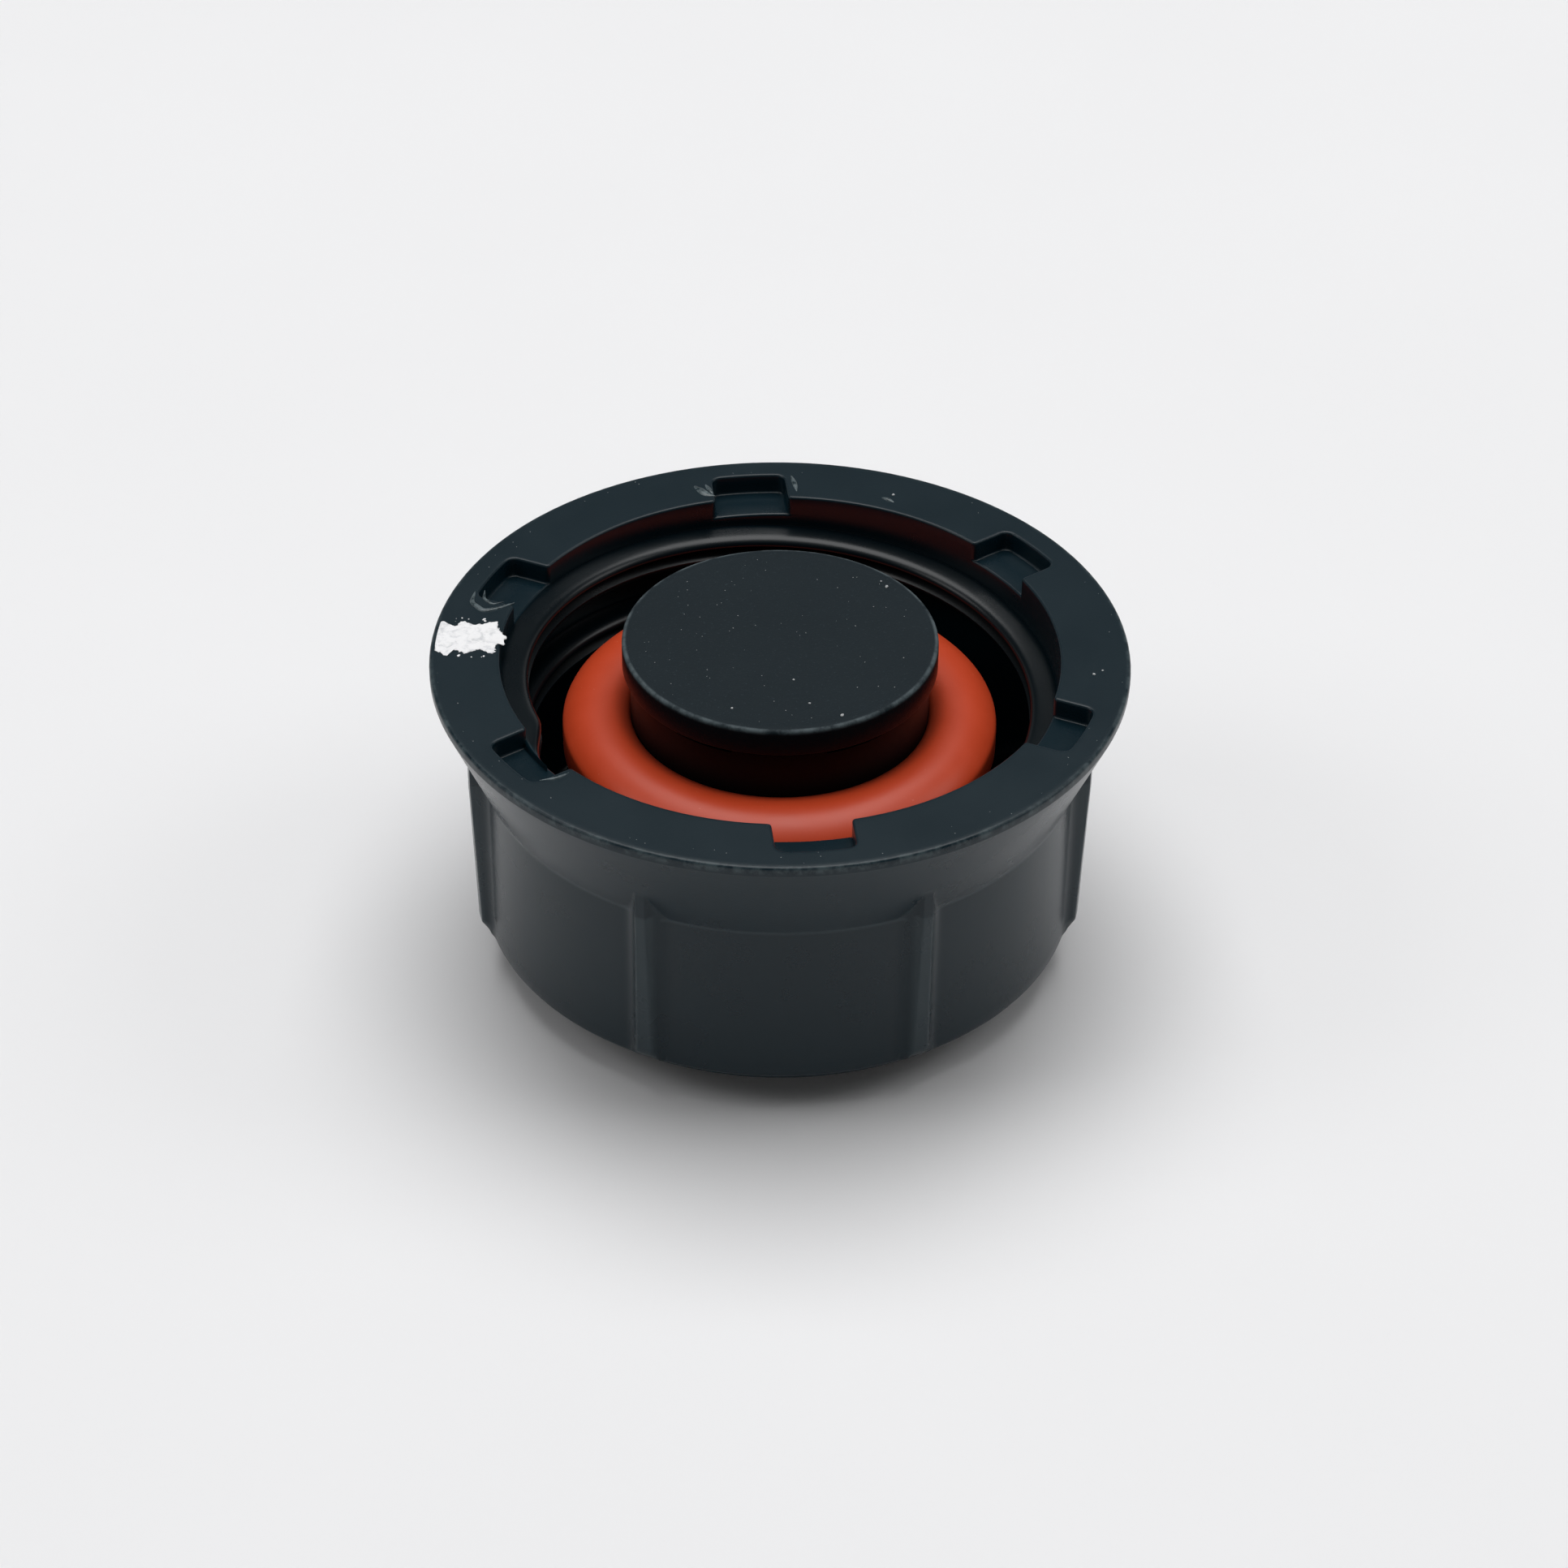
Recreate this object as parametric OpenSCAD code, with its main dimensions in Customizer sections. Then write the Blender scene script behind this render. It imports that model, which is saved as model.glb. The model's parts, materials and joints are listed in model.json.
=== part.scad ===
// Coolant reservoir cap, standing on its crown with the mouth upwards.
// Origin at the centre of the face that the crown rests on, +Z along the axis and out of the mouth.

/* [Cap body] */
// Diameter of the mouth, at the root of the neck thread
bore_d = 49.6; // [48:0.2:56]
// Width of the flat rim face around the mouth
rim_w = 6.2; // [5:0.1:9]
// Height of the rim face above the face that the crown rests on
rim_height = 30.5; // [29:0.5:38]
// Wall of the skirt between the ridges
skirt_wall = 2.1; // [1.6:0.1:3]
// Height of the straight lip under the rim face
lip_t = 0.55; // [0.3:0.05:1.5]
// Bevel on the rim's outer and inner edges
rim_edge = 0.3; // [0.1:0.05:0.6]
// Height of the flare that carries the lip out from the skirt
flare_h = 9.4; // [6:0.2:12]
// Height of the skirt's lower edge above the rest face
crown_edge = 4; // [3:0.1:6]
// Bevel on the skirt's lower edge
hem_edge = 0.4; // [0.1:0.05:0.8]
// Step from the skirt's lower edge in to the crown
crown_step = 1; // [0.4:0.1:2]
// Diameter of the flat spot that the crown rests on
crown_flat_d = 34; // [20:0.5:38]
// Radius of the crown's rounded shoulder
crown_round = 14.3; // [12:0.1:20]
// Thickness of the crown in the middle
crown_wall = 3.2; // [2.4:0.1:4]
// Height by which the cavity's floor climbs towards the skirt
floor_rise = 3.8; // [1:0.1:6]

/* [Grip ridges] */
// Number of ridges around the skirt
ridges = 7; // [5:1:12]
// Height of a ridge over the skirt, measured under the flare
ridge_out = 1.4; // [0.8:0.05:1.8]
// Width of a ridge's flat crest
ridge_w = 1; // [0.6:0.1:2]
// Radius of the hollow that blends a ridge into the skirt
ridge_fillet = 2.5; // [2:0.1:4]
// Draft of the ridge crests, in degrees
ridge_draft = 2; // [0:0.25:3]
// Bevel at a ridge's lower end
ridge_foot = 0.8; // [0.3:0.1:1.5]
// Direction of the first ridge, in degrees
ridge_turn = -63; // [-180:1:180]

/* [Rim notches] */
// Number of notches around the mouth
notches = 6; // [3:1:8]
// Width of a notch
notch_w = 6.8; // [4:0.1:10]
// How far a notch runs from the bore into the rim
notch_run = 3.8; // [2:0.1:4.4]
// Depth of a notch below the rim face
notch_depth = 1.9; // [0.8:0.1:3]
// Direction of the first notch, in degrees
notch_turn = 36.5; // [-180:0.5:180]

/* [Tower inside the cap] */
// Wall of the tower that carries the valve insert
tower_wall = 2.4; // [2:0.1:3]
// Number of ribs between the tower and the skirt
ribs = 6; // [3:1:8]
// Thickness of a rib
rib_t = 1.4; // [1:0.1:2]
// Height of a rib above the cavity's floor
rib_h = 5.4; // [4:0.1:7]

/* [Neck seal] */
// Distance from the rim face down to the top of the seal
seal_depth = 5.2; // [4:0.1:6]
// Height of the seal
seal_h = 4.5; // [3.5:0.1:5]
// Radial width of the seal
seal_w = 6.1; // [4:0.1:7]
// Radius of the seal's domed top
seal_round = 4.3; // [4:0.1:6]
// Distance from the plug out to the middle of the dome
seal_mid = 2.6; // [2:0.1:3.4]

/* [Valve insert] */
// Outer diameter of the barrel
barrel_d = 26.6; // [25:0.2:28]
// Wall of the barrel
barrel_wall = 2.4; // [2.2:0.1:2.8]
// Radial clearance in which the insert swivels
swivel_gap = 0.1; // [0.02:0.01:0.1]
// Play above and below the slip washer
axial_play = 0.05; // [0.02:0.01:0.1]
// Radial width of the flange that carries the neck seal
flange_w = 5.3; // [4:0.1:6]
// Thickness of the flange
flange_t = 2.2; // [1.5:0.1:2.5]
// Gap between the barrel's tail and the cavity's floor
tail_gap = 0.8; // [0.4:0.1:1.5]
// Number of outlet ports in the barrel, and of windows in the tower
ports = 4; // [3:1:6]
// Width of an outlet port
port_w = 4; // [2:0.2:5]
// Height of an outlet port
port_h = 2.4; // [1.6:0.1:2.8]
// Distance from the barrel's tail up to the middle of the ports
port_up = 6.6; // [6.4:0.1:7]
// Thickness of the slip washer
washer_t = 0.5; // [0.3:0.05:0.8]
// Radial width of the slip washer
washer_w = 4; // [2:0.1:4.6]

/* [End cover] */
// Outer diameter of the cover on the end of the plug
cover_d = 28; // [27.4:0.1:30]
// Height by which the cover stands proud of the rim face
cover_proud = 1.5; // [0:0.1:3]
// Thickness of the cover's plate
cover_t = 1.6; // [1:0.1:1.8]
// Length of the cover's side
cover_side = 2.6; // [2.4:0.1:2.8]
// Wall of the cover's side
cover_wall = 0.8; // [0.6:0.05:1]
// Bevel on the cover's outer edge
cover_edge = 0.25; // [0.1:0.05:0.4]
// Inlet slit between the cover's side and the barrel's shoulder
inlet_slit = 0.5; // [0.3:0.05:0.8]
// Number of inlet gaps in the barrel's end
inlets = 6; // [3:1:8]
// Width of an inlet gap
inlet_w = 5.5; // [3:0.1:6]

/* [Rings] */
// Thickness of the O-ring on the barrel
oring_d = 1.3; // [1.1:0.05:1.4]
// Depth of the O-ring's groove
oring_groove = 1.3; // [1.15:0.05:1.4]
// Distance from the flange down to the middle of the O-ring
oring_down = 3.6; // [2:0.1:4.4]
// Thickness of the retaining ring's wire
clip_d = 1.6; // [1.4:0.1:1.8]
// Depth of the retaining ring's groove in the barrel
clip_groove = 1.1; // [0.9:0.05:1.2]
// Distance from the barrel's tail up to the middle of the retaining ring
clip_up = 2.4; // [2:0.1:3]
// Open angle of the retaining ring, in degrees
clip_gap = 28; // [10:1:60]
// Room left around a ring in its groove
groove_room = 0.05; // [0.02:0.01:0.15]

/* [Pressure valve] */
// Distance from the rim face down to the valve seat
seat_depth = 5.3; // [5:0.1:6]
// Radial width of the lip that the seat is on
seat_lip_w = 3.3; // [2.9:0.1:3.5]
// Thickness of the lip that forms the seat
lip_wall = 1.4; // [1:0.1:1.8]
// Height of the bead that bites into the valve's seal
bead_h = 0.4; // [0.2:0.05:0.6]
// Width of the bead
bead_w = 0.8; // [0.4:0.1:1.2]
// Gap left between a closed valve and its seat
closed_gap = 0.02; // [0.01:0.01:0.05]
// Radial room between the valve plate and the barrel
plate_room = 1.2; // [1:0.1:1.5]
// Thickness of the valve plate
plate_t = 1.3; // [1:0.1:1.6]
// Step from the plate's edge in to the flat seal
flat_seal_inset = 0.3; // [0.1:0.1:0.6]
// Thickness of the valve's flat seal
flat_seal_t = 1.5; // [1:0.1:2]
// Outer radius of the plate's hub
hub_r = 4.2; // [4:0.1:4.4]
// Radius of the air passage through the hub
hub_bore_r = 3; // [2.8:0.1:3.1]
// Radial room between the washer that clamps the flat seal and the seat's opening
clamp_room = 0.6; // [0.4:0.1:1.5]
// Thickness of the clamp washer
clamp_t = 0.6; // [0.4:0.05:0.9]
// Height of the rolled collar that holds the clamp washer
collar_h = 0.25; // [0.15:0.05:0.4]
// Depth of the plate's boss that centres the main spring
boss_h = 1.2; // [0.8:0.1:1.6]
// Thickness of the web that guides the vacuum valve's stem
web_t = 1.2; // [0.8:0.1:1.6]
// Radius of an air hole in the web
air_hole_r = 0.55; // [0.4:0.05:0.55]

/* [Main spring] */
// Step from the plate's edge in to the coil
coil_inset = 0.3; // [0.1:0.05:0.4]
// Thickness of the wire
coil_wire = 1.2; // [1:0.05:1.3]
// Number of turns, with the closed ends
coil_turns = 6; // [5:0.5:7]
// Thickness of the spring seat
spring_seat_t = 2.6; // [2:0.1:3]
// Distance from the barrel's tail up to the spring seat
spring_seat_up = 1; // [0.5:0.1:1.4]
// Width across the flats of the spring seat's socket
socket_w = 6; // [4:0.5:8]
// Room between a boss and the coil around it
boss_room = 0.3; // [0.2:0.05:0.4]

/* [Vacuum valve] */
// Radius of the vacuum valve's button
button_r = 5; // [4.8:0.1:5.6]
// Thickness of the button
button_t = 1; // [0.6:0.1:1.2]
// Thickness of the vacuum valve's seal
button_seal_t = 0.8; // [0.5:0.05:1]
// Radius of the stem
stem_r = 1; // [0.9:0.05:1.05]
// Radial clearance of the stem in the web
stem_gap = 0.1; // [0.05:0.01:0.15]
// Mean radius of the vacuum spring
small_coil_r = 1.9; // [1.8:0.05:2.2]
// Thickness of the vacuum spring's wire
small_wire = 0.4; // [0.3:0.05:0.5]
// Number of turns of the vacuum spring, with the closed ends
small_turns = 6; // [5:0.5:7]
// Length of the vacuum spring as fitted
small_coil_h = 3.8; // [3.6:0.1:4.2]
// Thickness of the push nut on the stem
nut_t = 0.6; // [0.4:0.05:0.8]
// Radius of the push nut
nut_r = 2.6; // [2.4:0.1:3]
// Length of stem that shows below the push nut
stem_end = 0.6; // [0.3:0.1:1]

/* [Hidden] */
$fn = 96;
cut = 1;              // how far a cutting shape runs past the face that it cuts
hollow_dip = 0.06;    // how far the hollow beside a ridge dips into the skirt
inlet_sill = 0.2;     // how far an inlet gap runs down into the barrel's shoulder
gate_r = 2.5;         // radius of the moulding gate's well in the crown
gate_depth = 0.6;
air_holes = 4;
wire_sides = 8;
rings_per_turn = 16;

// Radii of the cap body
bore_r = bore_d / 2;
rim_r = bore_r + rim_w;
skirt_r = bore_r + skirt_wall;
barrel_r = barrel_d / 2;
barrel_in_r = barrel_r - barrel_wall;
tower_in_r = barrel_r + swivel_gap;
tower_out_r = tower_in_r + tower_wall;
crown_flat_r = crown_flat_d / 2;

// Heights down from the rim face
flare_top_z = rim_height - rim_edge - lip_t;
flare_foot_z = flare_top_z - flare_h;
seal_top_z = rim_height - seal_depth;
flange_top_z = seal_top_z - seal_h;
flange_z = flange_top_z - flange_t;
washer_z = flange_z - axial_play - washer_t;
tower_top_z = washer_z - axial_play;
oring_z = flange_z - oring_down;
cover_top_z = rim_height + cover_proud;
cover_under_z = cover_top_z - cover_t;
cover_foot_z = cover_top_z - cover_side;
shoulder_z = cover_foot_z - inlet_slit;
seat_z = rim_height - seat_depth;

// Heights up from the rest face
floor_z = crown_wall;
tail_z = floor_z + tail_gap;
clip_z = tail_z + clip_up;
port_z = tail_z + port_up;
spring_seat_z = tail_z + spring_seat_up;
coil_foot_z = spring_seat_z + spring_seat_t;

// Heights in the valve stack
flat_seal_top_z = seat_z - closed_gap;
plate_top_z = flat_seal_top_z - flat_seal_t;
plate_z = plate_top_z - plate_t;
boss_z = plate_z - boss_h;
web_z = boss_z - web_t;
clamp_top_z = flat_seal_top_z + clamp_t;
hub_top_z = clamp_top_z + collar_h;
button_seal_z = hub_top_z + closed_gap;
button_z = button_seal_z + button_seal_t;
small_coil_z = web_z - small_coil_h;
nut_z = small_coil_z - nut_t;
stem_z = nut_z - stem_end;

// Radii in the valve stack, from the barrel inwards
plate_r = barrel_in_r - plate_room;
flat_seal_r = plate_r - flat_seal_inset;
coil_r = plate_r - coil_inset - coil_wire / 2;
boss_r = coil_r - coil_wire / 2 - boss_room;
seat_hole_r = barrel_in_r - seat_lip_w;
clamp_r = seat_hole_r - clamp_room;

// Radii of the end cover and of the barrel's castellated end
cover_r = cover_d / 2;
cover_in_r = cover_r - cover_wall;
merlon_r = cover_in_r - groove_room;

// The hollow beside a ridge is a circle that dips a little into the skirt. ridge_half is the angle
// from the ridge's middle to that circle's centre, so that it meets the edge of the crest.
ridge_top_r = skirt_r + ridge_out;
hollow_r = skirt_r + ridge_fillet - hollow_dip;
crest_far = norm([ridge_top_r, ridge_w / 2]);
ridge_half = atan2(ridge_w / 2, ridge_top_r)
    + acos((crest_far ^ 2 + hollow_r ^ 2 - ridge_fillet ^ 2) / (2 * crest_far * hollow_r));

module around(count, turn = 0) {
    for (i = [0 : count - 1])
        rotate(turn + i * 360 / count)
            children();
}

module ring(r_in, r_out, z, h) {
    translate([0, 0, z])
        difference() {
            cylinder(r = r_out, h = h);
            translate([0, 0, -cut])
                cylinder(r = r_in, h = h + 2 * cut);
        }
}

// Half section of a ring band, for rotate_extrude
module band(r_in, r_out, z_low, z_high) {
    translate([r_in, z_low])
        square([r_out - r_in, z_high - z_low]);
}

// Outside of the cap: rounded crown, skirt, flare and lip
module cap_outline() {
    intersection() {
        union() {
            square([crown_flat_r, crown_round]);
            translate([crown_flat_r, crown_round])
                circle(r = crown_round);
        }
        square([skirt_r - hem_edge - crown_step, crown_edge]);
    }
    polygon([
        [0, crown_edge],
        [skirt_r - hem_edge, crown_edge],
        [skirt_r, crown_edge + hem_edge],
        [skirt_r, flare_foot_z],
        [rim_r, flare_top_z],
        [rim_r, rim_height - rim_edge],
        [rim_r - rim_edge, rim_height],
        [0, rim_height]
    ]);
}

// Cavity: sloping floor, bore and the bevel at the mouth
module cap_cavity() {
    polygon([
        [0, floor_z],
        [tower_out_r, floor_z],
        [bore_r, floor_z + floor_rise],
        [bore_r, rim_height - rim_edge],
        [bore_r + rim_edge, rim_height],
        [bore_r + rim_edge, rim_height + cut],
        [0, rim_height + cut]
    ]);
}

// Tower with the groove for the retaining ring and the relief that joins ports to windows
module tower_section() {
    difference() {
        band(tower_in_r, tower_out_r, floor_z - crown_wall / 2, tower_top_z);
        band(0, barrel_r + clip_d / 2 + 2 * groove_room,
             clip_z - clip_d / 2 - groove_room, clip_z + clip_d / 2 + groove_room);
        band(0, tower_in_r + tower_wall / 3,
             port_z - port_h / 2 - groove_room, port_z + port_h / 2 + groove_room);
    }
}

// Plan of one ridge: a wedge with a hollow on each side
module ridge_plan() {
    reach = hollow_r / cos(ridge_half);
    difference() {
        intersection() {
            circle(r = ridge_top_r);
            polygon([[0, 0], reach * [cos(ridge_half), -sin(ridge_half)],
                     reach * [cos(ridge_half), sin(ridge_half)]]);
        }
        for (side = [-1, 1])
            rotate(side * ridge_half)
                translate([hollow_r, 0])
                    circle(r = ridge_fillet);
    }
}

// The ridges end on a cone that gives their crests the draft, and in a bevel at the foot
module ridge_limit() {
    foot_z = crown_edge + hem_edge;
    foot_r = ridge_top_r - (flare_foot_z - foot_z) * tan(ridge_draft);
    polygon([
        [0, foot_z],
        [foot_r - ridge_foot, foot_z],
        [foot_r, foot_z + ridge_foot],
        [ridge_top_r, flare_foot_z],
        [ridge_top_r, flare_top_z],
        [0, flare_top_z]
    ]);
}

module grip_ridges() {
    intersection() {
        difference() {
            translate([0, 0, crown_edge])
                linear_extrude(flare_top_z - crown_edge)
                    around(ridges, ridge_turn)
                        ridge_plan();
            translate([0, 0, crown_edge - cut])
                cylinder(r = bore_r + skirt_wall / 2, h = rim_height);
        }
        rotate_extrude()
            ridge_limit();
    }
}

module notch() {
    translate([0, 0, rim_height - notch_depth])
        linear_extrude(notch_depth + cut)
            intersection() {
                circle(r = bore_r + notch_run);
                translate([bore_r - cut, -notch_w / 2])
                    square([notch_run + 2 * cut, notch_w]);
            }
}

// Ribs from the tower to the skirt, kept inside the cap's own outline
module floor_ribs() {
    inside = tower_wall / 2;
    intersection() {
        around(ribs, notch_turn)
            translate([tower_out_r - inside, -rib_t / 2, floor_z - crown_wall / 2])
                cube([bore_r - tower_out_r + inside + skirt_wall / 2, rib_t, rib_h + crown_wall / 2]);
        rotate_extrude()
            cap_outline();
    }
}

module cap_body() {
    color([0.11, 0.15, 0.17])
        difference() {
            union() {
                rotate_extrude() {
                    difference() {
                        cap_outline();
                        cap_cavity();
                    }
                    tower_section();
                }
                grip_ridges();
                floor_ribs();
            }
            around(notches, notch_turn)
                notch();
            around(ports)
                translate([tower_in_r - cut, -port_w / 2, port_z - port_h / 2])
                    cube([tower_wall + 2 * cut, port_w, port_h]);
            translate([0, 0, -cut])
                cylinder(r = gate_r, h = gate_depth + cut);
        }
}

// Barrel with its castellated end, the flange, the seat lip with its bead, and two ring grooves
module housing_section() {
    difference() {
        union() {
            band(barrel_in_r, barrel_r, tail_z, shoulder_z);
            band(barrel_in_r, merlon_r, shoulder_z, cover_under_z);
            band(barrel_in_r, barrel_r + flange_w, flange_z, flange_top_z);
            band(seat_hole_r, barrel_r, seat_z + bead_h, seat_z + bead_h + lip_wall);
            band(seat_hole_r, seat_hole_r + bead_w, seat_z, seat_z + bead_h);
        }
        band(barrel_r - oring_groove, barrel_r + cut,
             oring_z - oring_d / 2 - groove_room, oring_z + oring_d / 2 + groove_room);
        band(barrel_r - clip_groove, barrel_r + cut,
             clip_z - clip_d / 2 - groove_room, clip_z + clip_d / 2 + groove_room);
    }
}

module valve_housing() {
    color([0.07, 0.08, 0.09])
        difference() {
            rotate_extrude()
                housing_section();
            around(inlets)
                translate([barrel_in_r - cut, -inlet_w / 2, shoulder_z - inlet_sill])
                    cube([barrel_wall + 2 * cut, inlet_w, cover_under_z - shoulder_z + inlet_sill + cut]);
            around(ports)
                translate([barrel_in_r - cut, -port_w / 2, port_z - port_h / 2])
                    cube([barrel_wall + 2 * cut, port_w, port_h]);
        }
}

// Domed silicone ring around the plug
module neck_seal() {
    color([0.78, 0.27, 0.14])
        rotate_extrude()
            intersection() {
                translate([barrel_r + seal_mid, seal_top_z - seal_round])
                    circle(r = seal_round);
                band(barrel_r, barrel_r + seal_w, flange_top_z, seal_top_z + cut);
            }
}

module end_cover() {
    color([0.14, 0.18, 0.21])
        rotate_extrude()
            polygon([
                [0, cover_under_z],
                [cover_in_r, cover_under_z],
                [cover_in_r, cover_foot_z],
                [cover_r, cover_foot_z],
                [cover_r, cover_top_z - cover_edge],
                [cover_r - cover_edge, cover_top_z],
                [0, cover_top_z]
            ]);
}

module slip_washer() {
    color([0.85, 0.84, 0.8])
        ring(barrel_r + swivel_gap, barrel_r + swivel_gap + washer_w, washer_z, washer_t);
}

module housing_o_ring() {
    color([0.05, 0.05, 0.05])
        translate([0, 0, oring_z])
            rotate_extrude()
                translate([tower_in_r - groove_room - oring_d / 2, 0])
                    circle(r = oring_d / 2);
}

// Split wire ring, half in the barrel's groove and half in the tower's
module retaining_ring() {
    color([0.6, 0.62, 0.64])
        translate([0, 0, clip_z])
            rotate(clip_gap / 2)
                rotate_extrude(angle = 360 - clip_gap)
                    translate([barrel_r + groove_room, 0])
                        circle(r = clip_d / 2);
}

// Adjusting plug at the barrel's tail, with a boss for the coil and a six-sided socket
module spring_seat() {
    color([0.2, 0.22, 0.24])
        difference() {
            union() {
                translate([0, 0, spring_seat_z])
                    cylinder(r = barrel_in_r - groove_room, h = spring_seat_t);
                translate([0, 0, spring_seat_z])
                    cylinder(r = boss_r, h = spring_seat_t + boss_h);
            }
            translate([0, 0, spring_seat_z - cut])
                cylinder(d = socket_w / cos(30), h = spring_seat_t + boss_h + 2 * cut, $fn = 6);
        }
}

// Height of a coil's centre line after a share t of its turns, with closed end turns
function coil_rise(t, turns) = let (
        close = 1 / turns,
        climb = 1 - close
    )
    t < close ? climb * close * (t / close) ^ 2 / 2 / (climb * climb)
    : t > 1 - close ? 1 - climb * close * ((1 - t) / close) ^ 2 / 2 / (climb * climb)
    : (t - close / 2) / climb;

// Wire swept along a closed-end coil between two heights
module coil(r, wire, turns, z_low, z_high) {
    rings = ceil(turns * rings_per_turn);
    lift = z_high - z_low - wire;
    points = [
        for (i = [0 : rings])
            let (
                a = i * 360 * turns / rings,
                z = z_low + wire / 2 + lift * coil_rise(i / rings, turns)
            )
            for (k = [0 : wire_sides - 1])
                let (
                    b = (k + 0.5) * 360 / wire_sides,
                    far = r + wire / 2 * cos(b)
                )
                [far * cos(a), far * sin(a), z + wire / 2 * sin(b)]
    ];
    walls = [
        for (i = [0 : rings - 1])
            for (k = [0 : wire_sides - 1])
                let (next = (k + 1) % wire_sides)
                [i * wire_sides + k, i * wire_sides + next,
                 (i + 1) * wire_sides + next, (i + 1) * wire_sides + k]
    ];
    first_end = [for (k = [wire_sides - 1 : -1 : 0]) k];
    last_end = [for (k = [0 : wire_sides - 1]) rings * wire_sides + k];
    polyhedron(points, concat([first_end], walls, [last_end]));
}

module main_spring() {
    color([0.62, 0.64, 0.66])
        coil(coil_r, coil_wire, coil_turns, coil_foot_z, plate_z);
}

// Plate with a hub for the air passage, a boss for the coil and a web for the stem
module pressure_valve_plate() {
    color([0.72, 0.6, 0.32])
        difference() {
            union() {
                translate([0, 0, plate_z])
                    cylinder(r = plate_r, h = plate_t);
                translate([0, 0, boss_z])
                    cylinder(r = boss_r, h = boss_h + plate_t);
                translate([0, 0, web_z])
                    cylinder(r = hub_r, h = hub_top_z - web_z);
            }
            translate([0, 0, web_z + web_t])
                cylinder(r = hub_bore_r, h = hub_top_z - web_z);
            translate([0, 0, web_z - cut])
                cylinder(r = stem_r + stem_gap, h = web_t + 2 * cut);
            around(air_holes, 45)
                translate([(stem_r + stem_gap + hub_bore_r) / 2, 0, web_z - cut])
                    cylinder(r = air_hole_r, h = web_t + 2 * cut);
        }
}

module pressure_valve_seal() {
    color([0.06, 0.06, 0.06])
        ring(hub_r, flat_seal_r, plate_top_z, flat_seal_t);
}

module seal_clamp_washer() {
    color([0.7, 0.71, 0.72])
        ring(hub_r, clamp_r, flat_seal_top_z, clamp_t);
}

module vacuum_valve_button() {
    color([0.72, 0.6, 0.32])
        union() {
            translate([0, 0, button_z])
                cylinder(r = button_r, h = button_t);
            translate([0, 0, stem_z])
                cylinder(r = stem_r, h = button_z - stem_z + button_t / 2);
        }
}

module vacuum_valve_seal() {
    color([0.06, 0.06, 0.06])
        ring(stem_r, button_r - button_t / 4, button_seal_z, button_seal_t);
}

module vacuum_spring() {
    color([0.62, 0.64, 0.66])
        coil(small_coil_r, small_wire, small_turns, small_coil_z, web_z);
}

module stem_push_nut() {
    color([0.6, 0.62, 0.64])
        ring(stem_r, nut_r, nut_z, nut_t);
}

cap_body();
valve_housing();
neck_seal();
end_cover();
slip_washer();
housing_o_ring();
retaining_ring();
spring_seat();
main_spring();
pressure_valve_plate();
pressure_valve_seal();
seal_clamp_washer();
vacuum_valve_button();
vacuum_valve_seal();
vacuum_spring();
stem_push_nut();
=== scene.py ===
"""Coolant reservoir cap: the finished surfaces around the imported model, with floor, light and camera.

Heights and radii in the values below are millimetres. Z runs up the cap's axis from the face that the
crown rests on, and -Y points to the camera.
"""

import json
import math

import bmesh
import bpy
import numpy as np
from mathutils import Matrix, Vector, geometry


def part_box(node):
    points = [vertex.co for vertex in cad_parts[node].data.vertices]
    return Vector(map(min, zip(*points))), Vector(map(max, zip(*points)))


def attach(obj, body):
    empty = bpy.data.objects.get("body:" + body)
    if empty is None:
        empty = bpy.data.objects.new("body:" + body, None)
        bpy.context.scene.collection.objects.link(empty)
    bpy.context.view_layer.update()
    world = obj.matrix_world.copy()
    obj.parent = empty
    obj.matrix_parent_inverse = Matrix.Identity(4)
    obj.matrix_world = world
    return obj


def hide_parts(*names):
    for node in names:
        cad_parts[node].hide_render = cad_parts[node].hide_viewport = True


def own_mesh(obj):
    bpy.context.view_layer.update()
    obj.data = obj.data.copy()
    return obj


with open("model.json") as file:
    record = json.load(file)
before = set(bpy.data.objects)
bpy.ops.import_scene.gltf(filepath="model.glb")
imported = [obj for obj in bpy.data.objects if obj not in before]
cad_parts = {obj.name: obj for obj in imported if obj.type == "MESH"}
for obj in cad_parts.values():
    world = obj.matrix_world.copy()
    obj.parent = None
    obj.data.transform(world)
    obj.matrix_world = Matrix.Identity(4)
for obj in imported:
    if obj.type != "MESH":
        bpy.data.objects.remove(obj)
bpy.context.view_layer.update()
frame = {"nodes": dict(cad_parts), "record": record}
MM = 0.001


def reach(node):
    """Outer radius of a CAD node, in millimetres."""
    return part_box(node)[1].x / MM


def foot(node):
    """Height of a CAD node's lowest point, in millimetres."""
    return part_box(node)[0].z / MM


def top(node):
    """Height of a CAD node's highest point, in millimetres."""
    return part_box(node)[1].z / MM


def mount_radius(name):
    """Radius of one of the record's mounts, in millimetres."""
    return next(m for m in frame["record"]["mounts"] if m["name"] == name)["dims"]["r_mm"]


# Cap body
RIM_R = reach("cap_body")
RIM_Z = top("cap_body")
BORE_R = mount_radius("neck_thread")
SKIRT_R = BORE_R + 2.1
LIP_H = 0.55
RIM_ROUND = 0.28
FLARE_TOP_Z = RIM_Z - 0.85
FLARE_FOOT_Z = FLARE_TOP_Z - 9.4
HEM_Z = 4.0
HEM_ROUND = 0.4
CROWN_EDGE_R = SKIRT_R - HEM_ROUND - 1.0
CROWN_FLAT_R = 17.0
CROWN_ROUND = 14.3
GATE_R = 2.5
GATE_DEPTH = 0.6
FLOOR_Z = 3.2
FLOOR_RISE = 3.8

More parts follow.
